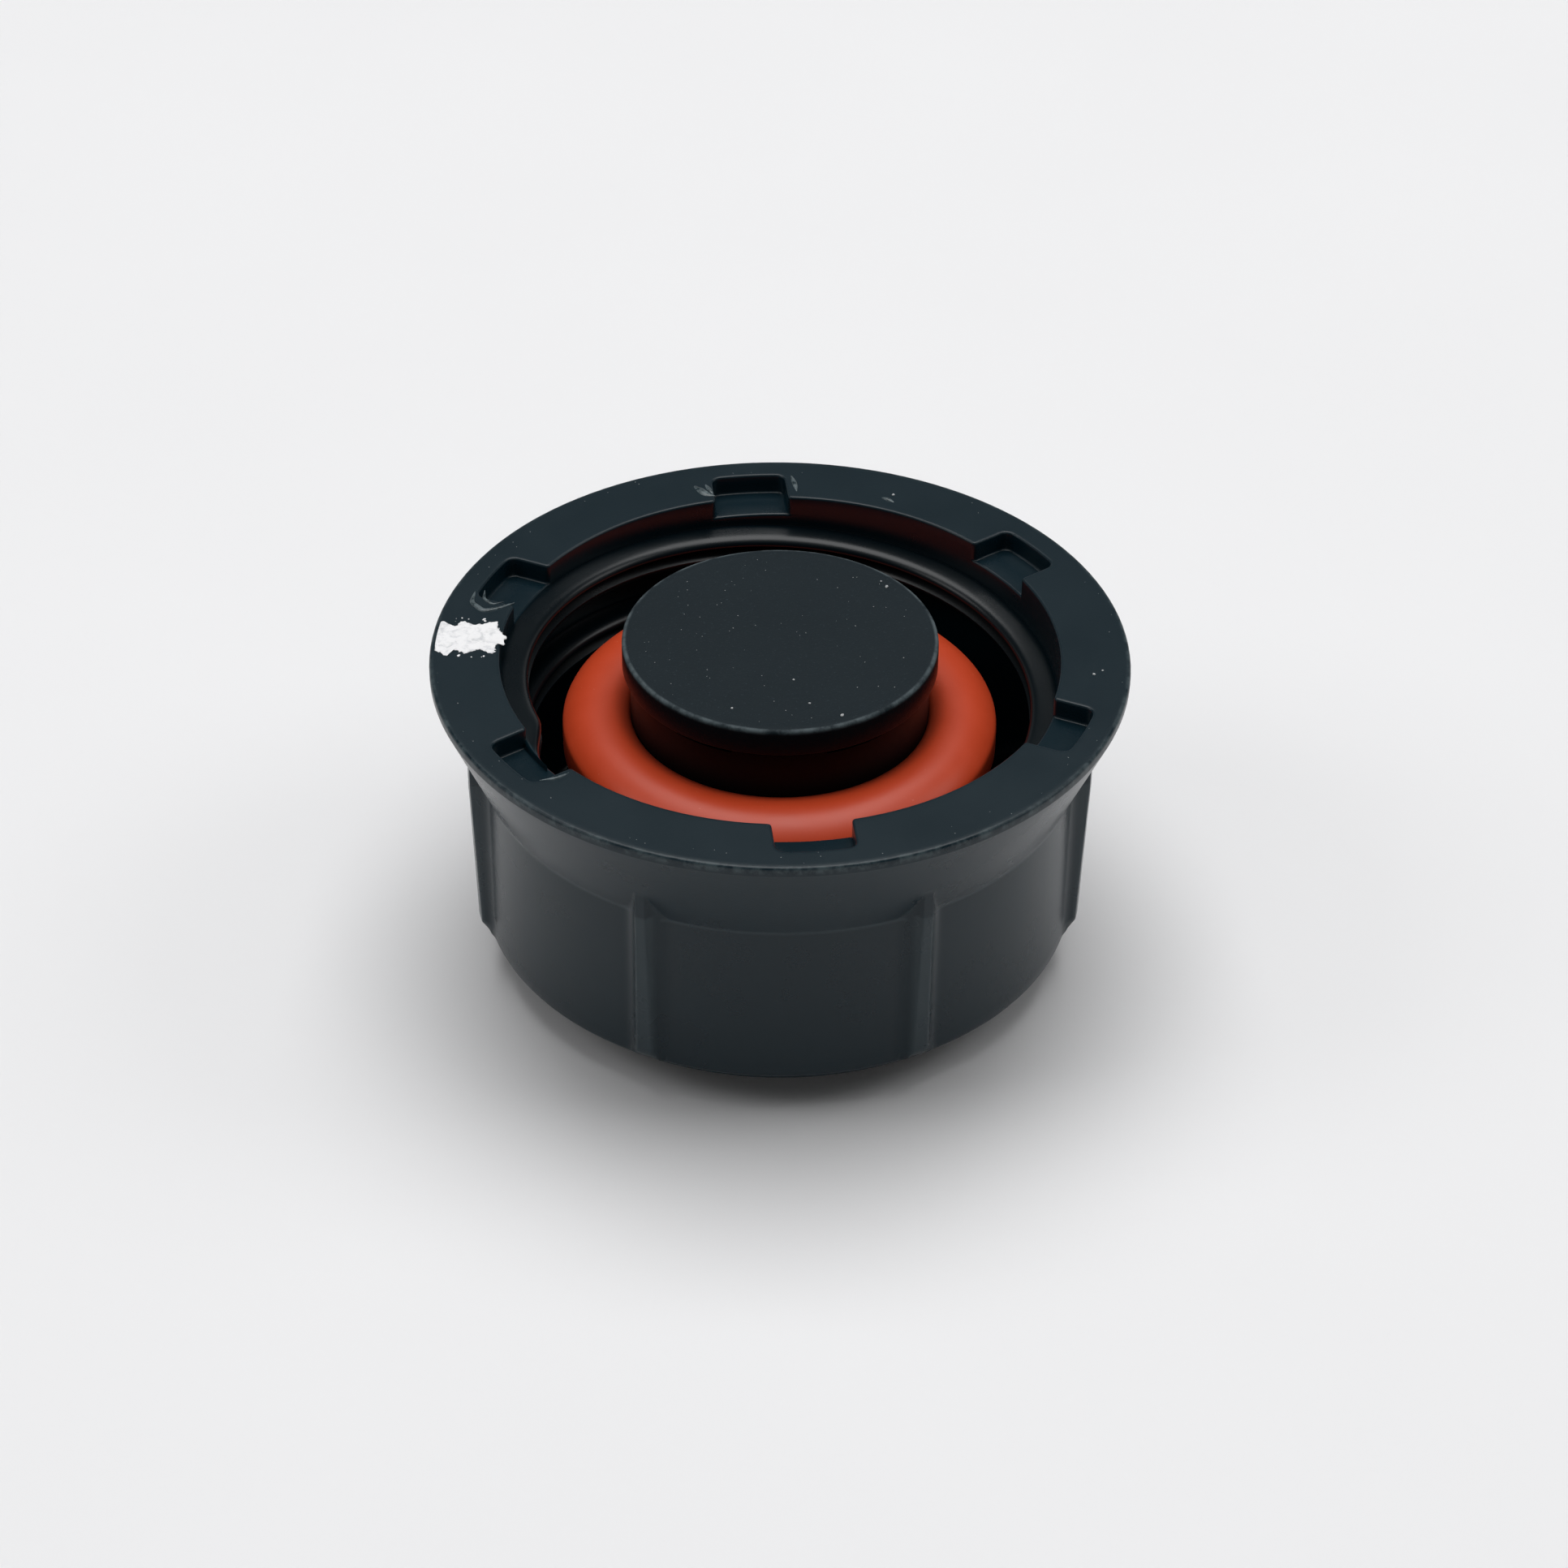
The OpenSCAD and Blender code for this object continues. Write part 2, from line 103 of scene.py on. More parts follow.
# Grip ridges
RIDGES = 7
RIDGE_TURN = math.radians(-63)
RIDGE_OUT = 1.4
RIDGE_W = 1.0
RIDGE_HOLLOW = 2.5
HOLLOW_DIP = 0.06
RIDGE_DRAFT = math.tan(math.radians(2))
RIDGE_TOP_R = SKIRT_R + RIDGE_OUT
HOLLOW_AT_R = SKIRT_R + RIDGE_HOLLOW - HOLLOW_DIP

# Rim notches
NOTCHES = 6
NOTCH_TURN = math.radians(36.5)
NOTCH_W = 6.8
NOTCH_R = BORE_R + 3.8
NOTCH_DEPTH = 1.9
NOTCH_MOUTH_ROUND = 0.4
NOTCH_POCKET_ROUND = 0.9
NOTCH_EDGE_ROUND = 0.22

# Tower inside the cap
TOWER_IN_R = 13.4
TOWER_OUT_R = 15.8
TOWER_TOP_Z = 18.0
GROOVE_R = 14.2
CLIP_GROOVE_Z = (5.55, 7.25)
RELIEF_Z = (9.35, 11.85)
WINDOW_Z = (9.4, 11.8)
WINDOW_W = 4.0
WINDOWS = 4
RIB_T = 1.4
RIB_TOP_Z = 8.6

# Neck thread
THREAD_PITCH = 6.0
THREAD_TURNS = 1.4
THREAD_DEPTH = 2.5
THREAD_CREST_W = 2.5
THREAD_HOLLOW = 0.9
THREAD_FLANK = 0.35
THREAD_START = math.radians(218)
THREAD_KNOWN_ANGLE = math.radians(92)
THREAD_KNOWN_Z = RIM_Z - 4.5

# Neck seal and plug
SEAL_R = reach("neck_seal")
SEAL_FOOT_Z = foot("neck_seal")
SEAL_TOP_Z = top("neck_seal")
SEAL_DOME = 4.3
BARREL_R = 13.3
SEAL_MID_R = BARREL_R + 2.6
COVER_R = reach("end_cover")
COVER_TOP_Z = top("end_cover")
COVER_FOOT_Z = foot("end_cover")
COVER_IN_R = COVER_R - 0.8
COVER_UNDER_Z = COVER_TOP_Z - 1.6
COVER_ROUND = 0.3

# Marks on the rim, as x and y over the rim face
DAB_OUTLINE = [(-30.9, 3.5), (-30.2, 4.15), (-29.0, 3.3), (-28.4, 4.2), (-27.4, 3.6), (-26.2, 3.85),
               (-25.3, 4.2), (-24.9, 2.6), (-24.3, 1.75), (-24.5, 0.5), (-25.1, 0.9), (-25.3, -0.9),
               (-26.65, -0.15), (-27.7, -0.9), (-28.8, -0.2), (-29.6, -1.2), (-30.5, -0.2), (-31.0, 1.0)]
# Each burr has its width, its height and its line
BURRS = [(0.6, 0.22, [(-27.5, 9.2), (-27.8, 7.1), (-26.6, 5.7), (-25.2, 6.3), (-23.9, 7.2)]),
         (0.35, 0.15, [(-26.7, 9.1), (-26.7, 7.7), (-25.9, 6.8), (-24.9, 7.3)]),
         (0.9, 0.2, [(-8.3, 26.7), (-7.0, 25.1), (-6.2, 25.0)]),
         (0.5, 0.15, [(-7.2, 26.9), (-6.6, 25.6), (-6.4, 25.2)]),
         (0.5, 0.15, [(0.8, 28.7), (1.2, 27.2), (1.4, 25.7)]),
         (0.35, 0.2, [(-20.3, -19.2), (-19.0, -19.0), (-18.0, -18.3), (-17.8, -17.9)]),
         (0.5, 0.2, [(9.2, 25.0), (9.9, 24.6), (10.5, 24.1)])]
# Specks, each with its place and radius
COVER_SPECKS = [(9.5, 8.1, 0.22), (5.4, -11.5, 0.2), (-4.1, -10.6, 0.12), (1.2, -6.3, 0.12), (9.0, 9.0, 0.1),
                (2.6, -9.8, 0.14)]
RIM_SPECKS = [(-25.1, 3.0, 0.12), (27.6, -3.0, 0.2), (28.4, -2.4, 0.12), (10.4, 25.4, 0.16)]

# Photograph: its width in pixels, the lens and the place of the rim's centre
PHOTO_W = 1932
SENSOR_MM = 36
FOCAL_PX = 5140.13
RIM_CENTRE_PX = (961.29, 802.65)
CAMERA_ELEVATION = 0.617734
CAMERA_DISTANCE = 11.9127 * RIM_R * MM
CAMERA_ROLL = 0.010576


class Wire:
    """A socket in a node tree. Arithmetic on it adds the Math nodes that work it out."""

    def __init__(self, tree, socket=None):
        self.tree = tree
        self.socket = socket

    def node(self, kind, settings=None, values=None):
        """Adds a node, sets it up, feeds its sockets by name or number, and gives its first output."""
        made = self.tree.nodes.new(kind)
        for name, value in (settings or {}).items():
            if name == "stops":
                set_stops(made.color_ramp, value)
            else:
                setattr(made, name, value)
        for name, value in (values or {}).items():
            socket = find_socket(made.inputs, name)
            if isinstance(value, Wire):
                self.tree.links.new(value.socket, socket)
            else:
                socket.default_value = value
        return Wire(self.tree, find_socket(made.outputs, 0)) if made.outputs else made

    def output(self, name):
        """Another output of the node that this socket belongs to."""
        return Wire(self.tree, find_socket(self.socket.node.outputs, name))

    def maths(self, operation, *others):
        values = dict(enumerate([self, *others]))
        return self.node("ShaderNodeMath", {"operation": operation}, values)

    def swapped(self, operation, other):
        return self.node("ShaderNodeMath", {"operation": operation}, {0: other, 1: self})

    def __add__(self, other):
        return self.maths("ADD", other)

    def __radd__(self, other):
        return self.swapped("ADD", other)

    def __sub__(self, other):
        return self.maths("SUBTRACT", other)

    def __rsub__(self, other):
        return self.swapped("SUBTRACT", other)

    def __mul__(self, other):
        return self.maths("MULTIPLY", other)

    def __rmul__(self, other):
        return self.swapped("MULTIPLY", other)

    def __truediv__(self, other):
        return self.maths("DIVIDE", other)

    def __rtruediv__(self, other):
        return self.swapped("DIVIDE", other)

    def __pow__(self, other):
        return self.maths("POWER", other)

    def __gt__(self, other):
        return self.maths("GREATER_THAN", other)

    def __lt__(self, other):
        return self.maths("LESS_THAN", other)

    def __abs__(self):
        return self.maths("ABSOLUTE")


def find_socket(sockets, name):
    """A socket by its number among the enabled ones, its identifier or its name."""
    if isinstance(name, int):
        return [s for s in sockets if s.enabled][name]
    for socket in sockets:
        if socket.identifier == name or (socket.enabled and socket.name == name):
            return socket
    raise KeyError(f"no socket named {name}")


def set_stops(ramp, stops):
    """Places a colour ramp's stops from pairs of position and grey or colour."""
    while len(ramp.elements) < len(stops):
        ramp.elements.new(1.0)
    for element, (position, value) in zip(ramp.elements, stops):
        element.position = position
        element.color = (*value, 1) if isinstance(value, tuple) else (value, value, value, 1)


# Shader helpers


def new_finish(name, **constants):
    """A material, its Principled shader with the given constants, and its Object coordinates."""
    material = bpy.data.materials.new(name)
    material.use_nodes = True
    shader = material.node_tree.nodes["Principled BSDF"]
    for socket, value in constants.items():
        shader.inputs[socket.replace("_", " ")].default_value = value
    here = Wire(material.node_tree).node("ShaderNodeTexCoord").output("Object")
    return material, shader, here


def feed(shader, socket, wire):
    shader.id_data.links.new(wire.socket, shader.inputs[socket])


def cloud(here, size_mm, detail=3.0, rough=0.55, warp=0.0):
    """Noise from 0 to 1 whose blotches measure about size_mm."""
    values = {"Vector": here, "Scale": 1 / (size_mm * MM), "Detail": detail, "Roughness": rough,
              "Distortion": warp}
    return here.node("ShaderNodeTexNoise", {}, values)


def rise(wire, low, high):
    """0 below low, 1 above high, smooth between."""
    settings = {"interpolation_type": "SMOOTHSTEP"}
    return wire.node("ShaderNodeMapRange", settings, {0: wire, 1: low, 2: high, 3: 0.0, 4: 1.0})


def between(wire, low, high):
    """Stretches a value from 0 to 1 over low to high."""
    return wire * (high - low) + low


def mixed(share, first, second):
    """Colour that goes from first to second with share."""
    values = {"Factor_Float": share}
    for name, colour in (("A_Color", first), ("B_Color", second)):
        values[name] = colour if isinstance(colour, Wire) else (*colour, 1)
    made = share.node("ShaderNodeMix", {"data_type": "RGBA"}, values)
    return made.output("Result_Color")


def bumped(height, depth_mm, strength=1.0, after=None):
    values = {"Height": height, "Distance": depth_mm * MM, "Strength": strength}
    if after is not None:
        values["Normal"] = after
    return height.node("ShaderNodeBump", {}, values)


def split(here):
    """The x, y and z of a place in millimetres, and its distance from the axis."""
    parts = here.node("ShaderNodeSeparateXYZ", {}, {"Vector": here})
    x, y, z = (parts.output(name) * (1 / MM) for name in "XYZ")
    return x, y, z, (x * x + y * y).maths("SQRT")


def stretched(here, x, y, z):
    """Object coordinates multiplied along each axis, so that a pattern stretches."""
    return here.node("ShaderNodeMapping", {}, {"Vector": here, "Scale": (x, y, z)})


# Finishes


def cap_plastic():
    """Dark glass-filled plastic: satin and finely grained. It is paler on the rim's outer edge and the ridge
    crests with painted highlight that also stands for rubbing, and darker in the bore with painted shade.
    """
    material, shader, here = new_finish("cap_plastic", IOR=1.37)
    x, y, z, r = split(here)
    blotches = cloud(here, 7, 4)
    grain = cloud(here, 0.16, 2, 0.7)
    fine = cloud(here, 0.5, 3, 0.6)
    face = rise(z, RIM_Z - 0.05, RIM_Z - 0.01)
    # Painted highlight along the rim's outer edge, also standing for rubbing: paler and rougher, broken up by
    # noise.
    rim_edge_highlight_and_rub = rise(r, RIM_R - 0.5, RIM_R - 0.1) * rise(z, RIM_Z - 0.9, RIM_Z - 0.35)
    rim_edge_highlight_and_rub = rim_edge_highlight_and_rub * rise(cloud(here, 1.3, 4, 0.7), 0.38, 0.7)
    low = 1 - rise(z, FLARE_FOOT_Z + 0.4, FLARE_FOOT_Z + 0.8)
    # Painted highlight on the ridge crests below the flare, also standing for rubbing, and a paler line along the
    # flare's foot.
    crest = rise(r, RIDGE_TOP_R - 1.0, RIDGE_TOP_R - 0.35) * low
    seam = (1 - rise(abs(z - FLARE_FOOT_Z), 0.05, 0.3)) * (1 - rise(r, SKIRT_R + 0.15, SKIRT_R + 0.4))
    crest_highlight_and_foot_line = (crest * 0.75 + seam * rise(r, BORE_R + 1, BORE_R + 1.5) * 0.5) * between(blotches, 0.6, 1.0)
    # Painted shade: darker inside the bore, below the rim face.
    inside = (1 - rise(r, BORE_R - 0.1, BORE_R + 0.05)) * (1 - face)
    colour = mixed(blotches, (0.0012, 0.0095, 0.015), (0.003, 0.014, 0.021))
    colour = mixed(rise(fine, 0.6, 0.8) * 0.25, colour, (0.008, 0.02, 0.025))
    colour = mixed(inside * 0.8, colour, (0.0006, 0.002, 0.003))
    colour = mixed(crest_highlight_and_foot_line, colour, (0.03, 0.046, 0.054))
    colour = mixed(rim_edge_highlight_and_rub * 0.8, colour, (0.055, 0.078, 0.086))
    feed(shader, "Base Color", colour)
    feed(shader, "Roughness", between(blotches, 0.24, 0.32) + face * 0.08 + rim_edge_highlight_and_rub * 0.1)
    relief = bumped(grain, 0.012, 0.5, bumped(blotches, 0.05, 0.3))
    feed(shader, "Normal", relief)
    return material


def housing_plastic():
    """Smooth black plastic of the valve housing."""
    material, shader, here = new_finish("housing_plastic", IOR=1.22)
    blotches = cloud(here, 4, 3)
    feed(shader, "Base Color", mixed(blotches, (0.0012, 0.0015, 0.002), (0.003, 0.0035, 0.0045)))
    feed(shader, "Roughness", between(blotches, 0.3, 0.42))
    feed(shader, "Normal", bumped(cloud(here, 0.3, 2), 0.006, 0.5))
    return material


def cover_plastic():
    """Matt grained plastic of the plug's end cover, with a painted highlight along its top edge and painted shade
    on its sides.
    """
    material, shader, here = new_finish("cover_plastic", IOR=1.26)
    x, y, z, r = split(here)
    grain = cloud(here, 0.22, 3, 0.75)
    coarse = cloud(here, 0.7, 3, 0.6)
    # Painted highlight along the cover's top edge, broken up by noise.
    edge = rise(r, COVER_R - 0.45, COVER_R - 0.2) * rise(z, COVER_TOP_Z - 0.5, COVER_TOP_Z - 0.1)
    edge = edge * rise(cloud(here, 2.2, 4, 0.7), 0.3, 0.65)
    face = rise(z, COVER_TOP_Z - 0.4, COVER_TOP_Z - 0.2)
    colour = mixed(cloud(here, 6, 3), (0.0035, 0.0095, 0.0135), (0.006, 0.013, 0.0175))
    colour = mixed(rise(grain, 0.58, 0.78) * 0.7, colour, (0.03, 0.045, 0.055))
    # Painted shade: the cover's sides and underside darker than its top face.
    colour = mixed(1 - face, colour, (0.003, 0.004, 0.006))
    colour = mixed(edge * 0.8, colour, (0.09, 0.115, 0.125))
    feed(shader, "Base Color", colour)
    feed(shader, "Roughness", between(face, 0.35, 0.62))
    feed(shader, "Normal", bumped(grain, 0.03, 0.7, bumped(coarse, 0.02, 0.5)))
    return material


def orange_silicone():
    """Smooth silicone of the neck seal, darker beside the plug with painted shade."""
    material, shader, here = new_finish("orange_silicone", IOR=1.42)
    x, y, z, r = split(here)
    blotches = cloud(here, 3, 4)
    # Painted shade: darker beside the plug, in the hollow between seal and plug.
    beside = 1 - rise(r, BARREL_R + 0.1, BARREL_R + 1.9)
    colour = mixed(blotches, (0.5, 0.05, 0.014), (0.56, 0.06, 0.018))
    colour = mixed(beside * 0.8, colour, (0.16, 0.02, 0.008))
    colour = mixed(rise(cloud(here, 0.4, 2), 0.72, 0.8) * 0.4, colour, (0.75, 0.3, 0.2))
    feed(shader, "Base Color", colour)
    feed(shader, "Roughness", between(blotches, 0.34, 0.46))
    feed(shader, "Normal", bumped(cloud(here, 0.35, 2), 0.006, 0.4))
    return material


def black_rubber():
    material, shader, here = new_finish("black_rubber", IOR=1.5)
    blotches = cloud(here, 2, 4)
    feed(shader, "Base Color", mixed(blotches, (0.008, 0.008, 0.009), (0.02, 0.02, 0.02)))
    feed(shader, "Roughness", between(blotches, 0.5, 0.7))
    feed(shader, "Normal", bumped(cloud(here, 0.15, 2), 0.008, 0.6))
    return material


def white_nylon():
    material, shader, here = new_finish("white_nylon", IOR=1.53)
    blotches = cloud(here, 3, 4)
    feed(shader, "Base Color", mixed(blotches, (0.66, 0.63, 0.55), (0.78, 0.76, 0.7)))
    feed(shader, "Roughness", between(blotches, 0.35, 0.5))
    feed(shader, "Normal", bumped(cloud(here, 0.3, 2), 0.008, 0.4))
    return material


def seat_plastic():
    material, shader, here = new_finish("seat_plastic", IOR=1.48)
    blotches = cloud(here, 3, 4)
    feed(shader, "Base Color", mixed(blotches, (0.03, 0.035, 0.04), (0.055, 0.06, 0.066)))
    feed(shader, "Roughness", between(blotches, 0.38, 0.52))
    feed(shader, "Normal", bumped(cloud(here, 0.25, 2), 0.01, 0.5))
    return material


def paint_white():
    """Chalky white paint, a little grey where it is thin."""
    material, shader, here = new_finish("paint_white", IOR=1.45)
    thin = rise(cloud(here, 0.9, 4, 0.65, 0.6), 0.45, 0.72)
    feed(shader, "Base Color", mixed(thin, (0.86, 0.86, 0.87), (0.6, 0.61, 0.63)))
    feed(shader, "Roughness", between(thin, 0.55, 0.7))
    feed(shader, "Normal", bumped(cloud(here, 0.3, 4, 0.6), 0.04, 0.7))
    return material


def worn_plastic():
    """The paler, torn plastic of a burr."""
    material, shader, here = new_finish("worn_plastic", IOR=1.5)
    pale = rise(cloud(here, 0.7, 4, 0.7), 0.35, 0.65)
    feed(shader, "Base Color", mixed(pale, (0.012, 0.025, 0.03), (0.09, 0.12, 0.13)))
    feed(shader, "Roughness", between(pale, 0.25, 0.45))
    feed(shader, "Normal", bumped(cloud(here, 0.25, 3), 0.03, 0.6))
    return material


def dust_grey():
    material, shader, here = new_finish("dust_grey")
    feed(shader, "Base Color", mixed(cloud(here, 0.3, 2), (0.25, 0.27, 0.28), (0.55, 0.56, 0.56)))
    feed(shader, "Roughness", between(cloud(here, 0.2, 2), 0.6, 0.9))
    return material


def drawn_metal(name, dark, light, along):
    """Metal with fine marks that run along one direction: wire, stamped or turned."""
    material, shader, here = new_finish(name, Metallic=1.0)
    marks = cloud(stretched(here, *along), 0.5, 4, 0.6)
    stains = cloud(here, 2.5, 4)
    feed(shader, "Base Color", mixed(stains, dark, light))
    feed(shader, "Roughness", between(marks, 0.2, 0.42))
    feed(shader, "Normal", bumped(marks, 0.008, 0.4))
    return material


# Solids of revolution and ring by ring meshes


class Skin:
    """Points and faces of one mesh, in millimetres, gathered ring by ring."""

    def __init__(self):
        self.points = []
        self.faces = []

    def ring(self, points):
        start = len(self.points)
        self.points.extend(np.asarray(points, float).tolist())
        return np.arange(start, len(self.points))

    def circle(self, angles, radius, z):
        points = np.stack([radius * np.cos(angles), radius * np.sin(angles), np.full(len(angles), z)], 1)
        return self.ring(points)

    def band(self, first, second, left_out=()):
        """Quads between two rings of as many points, on the right of the way from first to second."""
        for i, (a, b, c, d) in enumerate(zip(first, np.roll(first, -1), np.roll(second, -1), second)):
            if i not in left_out:
                self.faces.append((a, b, c, d))

    def zipped(self, first, second):
        """Triangles between two rings of different counts, both in order of their angles."""
        def turns(ring):
            angles = [math.atan2(self.points[i][1], self.points[i][0]) for i in ring]
            start = int(np.argmin(angles))
            ordered = list(np.roll(ring, -start))
            angles = list(np.roll(angles, -start))
            return ordered + ordered[:1], angles + [angles[0] + 2 * math.pi]
        a, a_angles = turns(first)
        b, b_angles = turns(second)
        i = j = 0
        while i < len(a) - 1 or j < len(b) - 1:
            along_first = j == len(b) - 1 or (i < len(a) - 1 and a_angles[i + 1] <= b_angles[j + 1])
            if along_first:
                self.faces.append((a[i], a[i + 1], b[j]))
                i += 1
            else:
                self.faces.append((a[i], b[j + 1], b[j]))
                j += 1

    def flat_ring(self, outer, inner):
        """Fills the level face between an outer and an inner ring."""
        loops = [[Vector(self.points[i]) for i in ring] for ring in (outer, inner)]
        numbers = list(outer) + list(inner)
        for triangle in geometry.tessellate_polygon(loops):
            a, b, c = (numbers[i] for i in triangle)
            pa, pb, pc = (np.array(self.points[i][:2]) for i in (a, b, c))
            upwards = np.cross(pb - pa, pc - pa) > 0
            self.faces.append((a, b, c) if upwards else (a, c, b))

    def centre(self, ring, z, upwards):
        """Closes a ring with a fan to the axis."""
        middle = len(self.points)
        self.points.append([0, 0, z])
        for a, b in zip(ring, np.roll(ring, -1)):
            self.faces.append((a, b, middle) if upwards else (b, a, middle))

    def fleck(self, spot, size, height, rng, z=RIM_Z):
        """A small uneven lump, sunk a little into the face that it lies on."""
        turns = np.linspace(0, 2 * math.pi, 8)[:-1]
        sizes = size * rng.uniform(0.6, 1.25, len(turns))
        rings = []
        for share, lift in ((0.8, -0.02), (1.0, height * 0.3), (0.7, height * 0.85)):
            x = spot[0] + sizes * share * np.cos(turns)
            y = spot[1] + sizes * share * np.sin(turns)
            rings.append(self.ring(np.column_stack([x, y, np.full(len(turns), z + lift)])))
        self.band(rings[0], rings[1])
        self.band(rings[1], rings[2])
        self.faces.append(tuple(rings[0][::-1]))
        self.faces.append(tuple(rings[2]))

    def piece(self, name, finish, sharp=38):
        """The mesh as an object in metres, shaded smooth up to an edge angle in degrees."""
        mesh = bpy.data.meshes.new(name)
        mesh.from_pydata((np.array(self.points) * MM).tolist(), [], [tuple(map(int, f)) for f in self.faces])
        mesh.shade_smooth()
        mesh.set_sharp_from_angle(angle=math.radians(sharp))
        made = bpy.data.objects.new(name, mesh)
        bpy.context.scene.collection.objects.link(made)
        mesh.materials.append(finish)
        return made


def rounded(corners, closed=False, steps=4):
    """Points of an outline whose corners, given as (r, z, rounding), are turned into arcs."""
    points = []
    count = len(corners)
    for i, (r, z, rounding) in enumerate(corners):
        here = np.array([r, z], float)
        if rounding == 0 or (not closed and i in (0, count - 1)):
            points.append(here)
            continue
        before = np.array(corners[i - 1][:2], float) - here
        after = np.array(corners[(i + 1) % count][:2], float) - here
        before /= np.linalg.norm(before)
        after /= np.linalg.norm(after)
        half = math.acos(np.clip(before @ after, -1, 1)) / 2
        middle = before + after
        middle /= np.linalg.norm(middle)
        centre = here + middle * rounding / math.sin(half)
        start = here + before * rounding / math.tan(half) - centre
        sweep = math.pi - 2 * half
        turn = np.sign(before[1] * after[0] - before[0] * after[1])
        for k in range(steps + 1):
            a = turn * sweep * k / steps
            spin = np.array([[math.cos(a), -math.sin(a)], [math.sin(a), math.cos(a)]])
            points.append(centre + spin @ start)
    return np.array(points)


def turned(name, corners, finish, sides=160, steps=4):
    """A closed solid of revolution from the corners of its half section, on or off the axis."""
    outline = rounded(corners, closed=corners[0][0] > 0, steps=steps)
    angles = np.arange(sides) * 2 * math.pi / sides
    skin = Skin()
    rings = [skin.circle(angles, r, z) for r, z in outline if r > 1e-6]
    for first, second in zip(rings, rings[1:]):
        skin.band(first, second)
    if corners[0][0] > 0:
        skin.band(rings[-1], rings[0])
    else:
        skin.centre(rings[0], outline[0][1], upwards=False)
        skin.centre(rings[-1], outline[-1][1], upwards=True)
    return skin.piece(name, finish)


def settle(piece):
    """Turns a piece with a modifier into a plain mesh and removes the modifier."""
    graph = bpy.context.evaluated_depsgraph_get()
    plain = bpy.data.meshes.new_from_object(piece.evaluated_get(graph), depsgraph=graph)
    piece.modifiers.clear()
    piece.data = plain
    return piece


def nodes_tree(name, inputs):
    """A Geometry Nodes tree with a geometry socket, the named inputs and their defaults."""
    tree = bpy.data.node_groups.new(name, "GeometryNodeTree")
    tree.interface.new_socket("Geometry", in_out="INPUT", socket_type="NodeSocketGeometry")
    tree.interface.new_socket("Geometry", in_out="OUTPUT", socket_type="NodeSocketGeometry")
    for label in inputs:
        kind = "NodeSocketMaterial" if label == "Finish" else "NodeSocketFloat"
        tree.interface.new_socket(label, in_out="INPUT", socket_type=kind)
    start = Wire(tree).node("NodeGroupInput")
    return tree, start, {label: start.output(label) for label in inputs}


def end_tree(geometry_wire, finish):
    """Ends a tree in Realize Instances and Set Material."""
    real = geometry_wire.node("GeometryNodeRealizeInstances", {}, {"Geometry": geometry_wire})
    dressed = real.node("GeometryNodeSetMaterial", {}, {"Geometry": real, "Material": finish})
    dressed.node("NodeGroupOutput", {}, {"Geometry": dressed})


def grow(piece, tree, values):
    """Runs a tree on a piece with the values of its named inputs, and keeps the plain mesh."""
    modifier = piece.modifiers.new(tree.name, "NODES")
    modifier.node_group = tree
    for item in tree.interface.items_tree:
        if item.in_out == "INPUT" and item.name in values:
            value = values[item.name]
            modifier[item.identifier] = float(value) if isinstance(value, int) else value
    return settle(piece)


# Cap body


def outer_angles():
    """Angles of the cap's outer lines: close together over each ridge, wider between ridges."""
    beside = [0, .16, .3, .42, .52, .64, .8, 1.0, 1.25, 1.5, 1.75, 2.0, 2.25, 2.5, 2.8, 3.3]
    near = np.array([-s for s in beside[:0:-1]] + beside) / (SKIRT_R + RIDGE_OUT / 2)
    spacing = 2 * math.pi / RIDGES
    between_ridges = np.linspace(near[-1], spacing + near[0], 15)[1:-1]
    one = np.concatenate([near, between_ridges])
    return np.concatenate([RIDGE_TURN + i * spacing + one for i in range(RIDGES)])


def outer_stations():
    """Half section of the cap's outside, from the crown's gate well to the rim face."""
    crown_centre = np.array([CROWN_FLAT_R, CROWN_ROUND])
    reach_out = math.asin((CROWN_EDGE_R - CROWN_FLAT_R) / CROWN_ROUND)
    dome = [crown_centre + CROWN_ROUND * np.array([math.sin(a), -math.cos(a)])
            for a in np.linspace(0, reach_out, 12)]
    well = rounded([(0, GATE_DEPTH, 0), (GATE_R, GATE_DEPTH, .2), (GATE_R, 0, .15), (6, 0, 0)])
    step = rounded([(*dome[-2], 0), (*dome[-1], .3), (CROWN_EDGE_R, HEM_Z, .2),
                    (SKIRT_R, HEM_Z, HEM_ROUND), (SKIRT_R, 5.4, 0)])
    skirt = [(SKIRT_R, z) for z in (5.8, 6.4, 7.5, 9, 11, 13, 15, 17, 18.6)]
    crease = [(SKIRT_R, z) for z in np.arange(19.3, FLARE_FOOT_Z - .1, .2)]
    slope = (RIM_R - SKIRT_R) / (FLARE_TOP_Z - FLARE_FOOT_Z)
    flare = [(SKIRT_R + (z - FLARE_FOOT_Z) * slope, z)
             for z in [*np.arange(FLARE_FOOT_Z + .05, 24.2, .18), 24.8, 25.6, 26.6, 27.6, 28.5]]
    lip = rounded([(*flare[-1], 0), (RIM_R, FLARE_TOP_Z, .3), (RIM_R, RIM_Z, RIM_ROUND),
                   (RIM_R - .7, RIM_Z, 0)])
    return [*well, (11, 0), *dome[:-2], *step, *skirt, *crease, *flare, *lip[1:]]


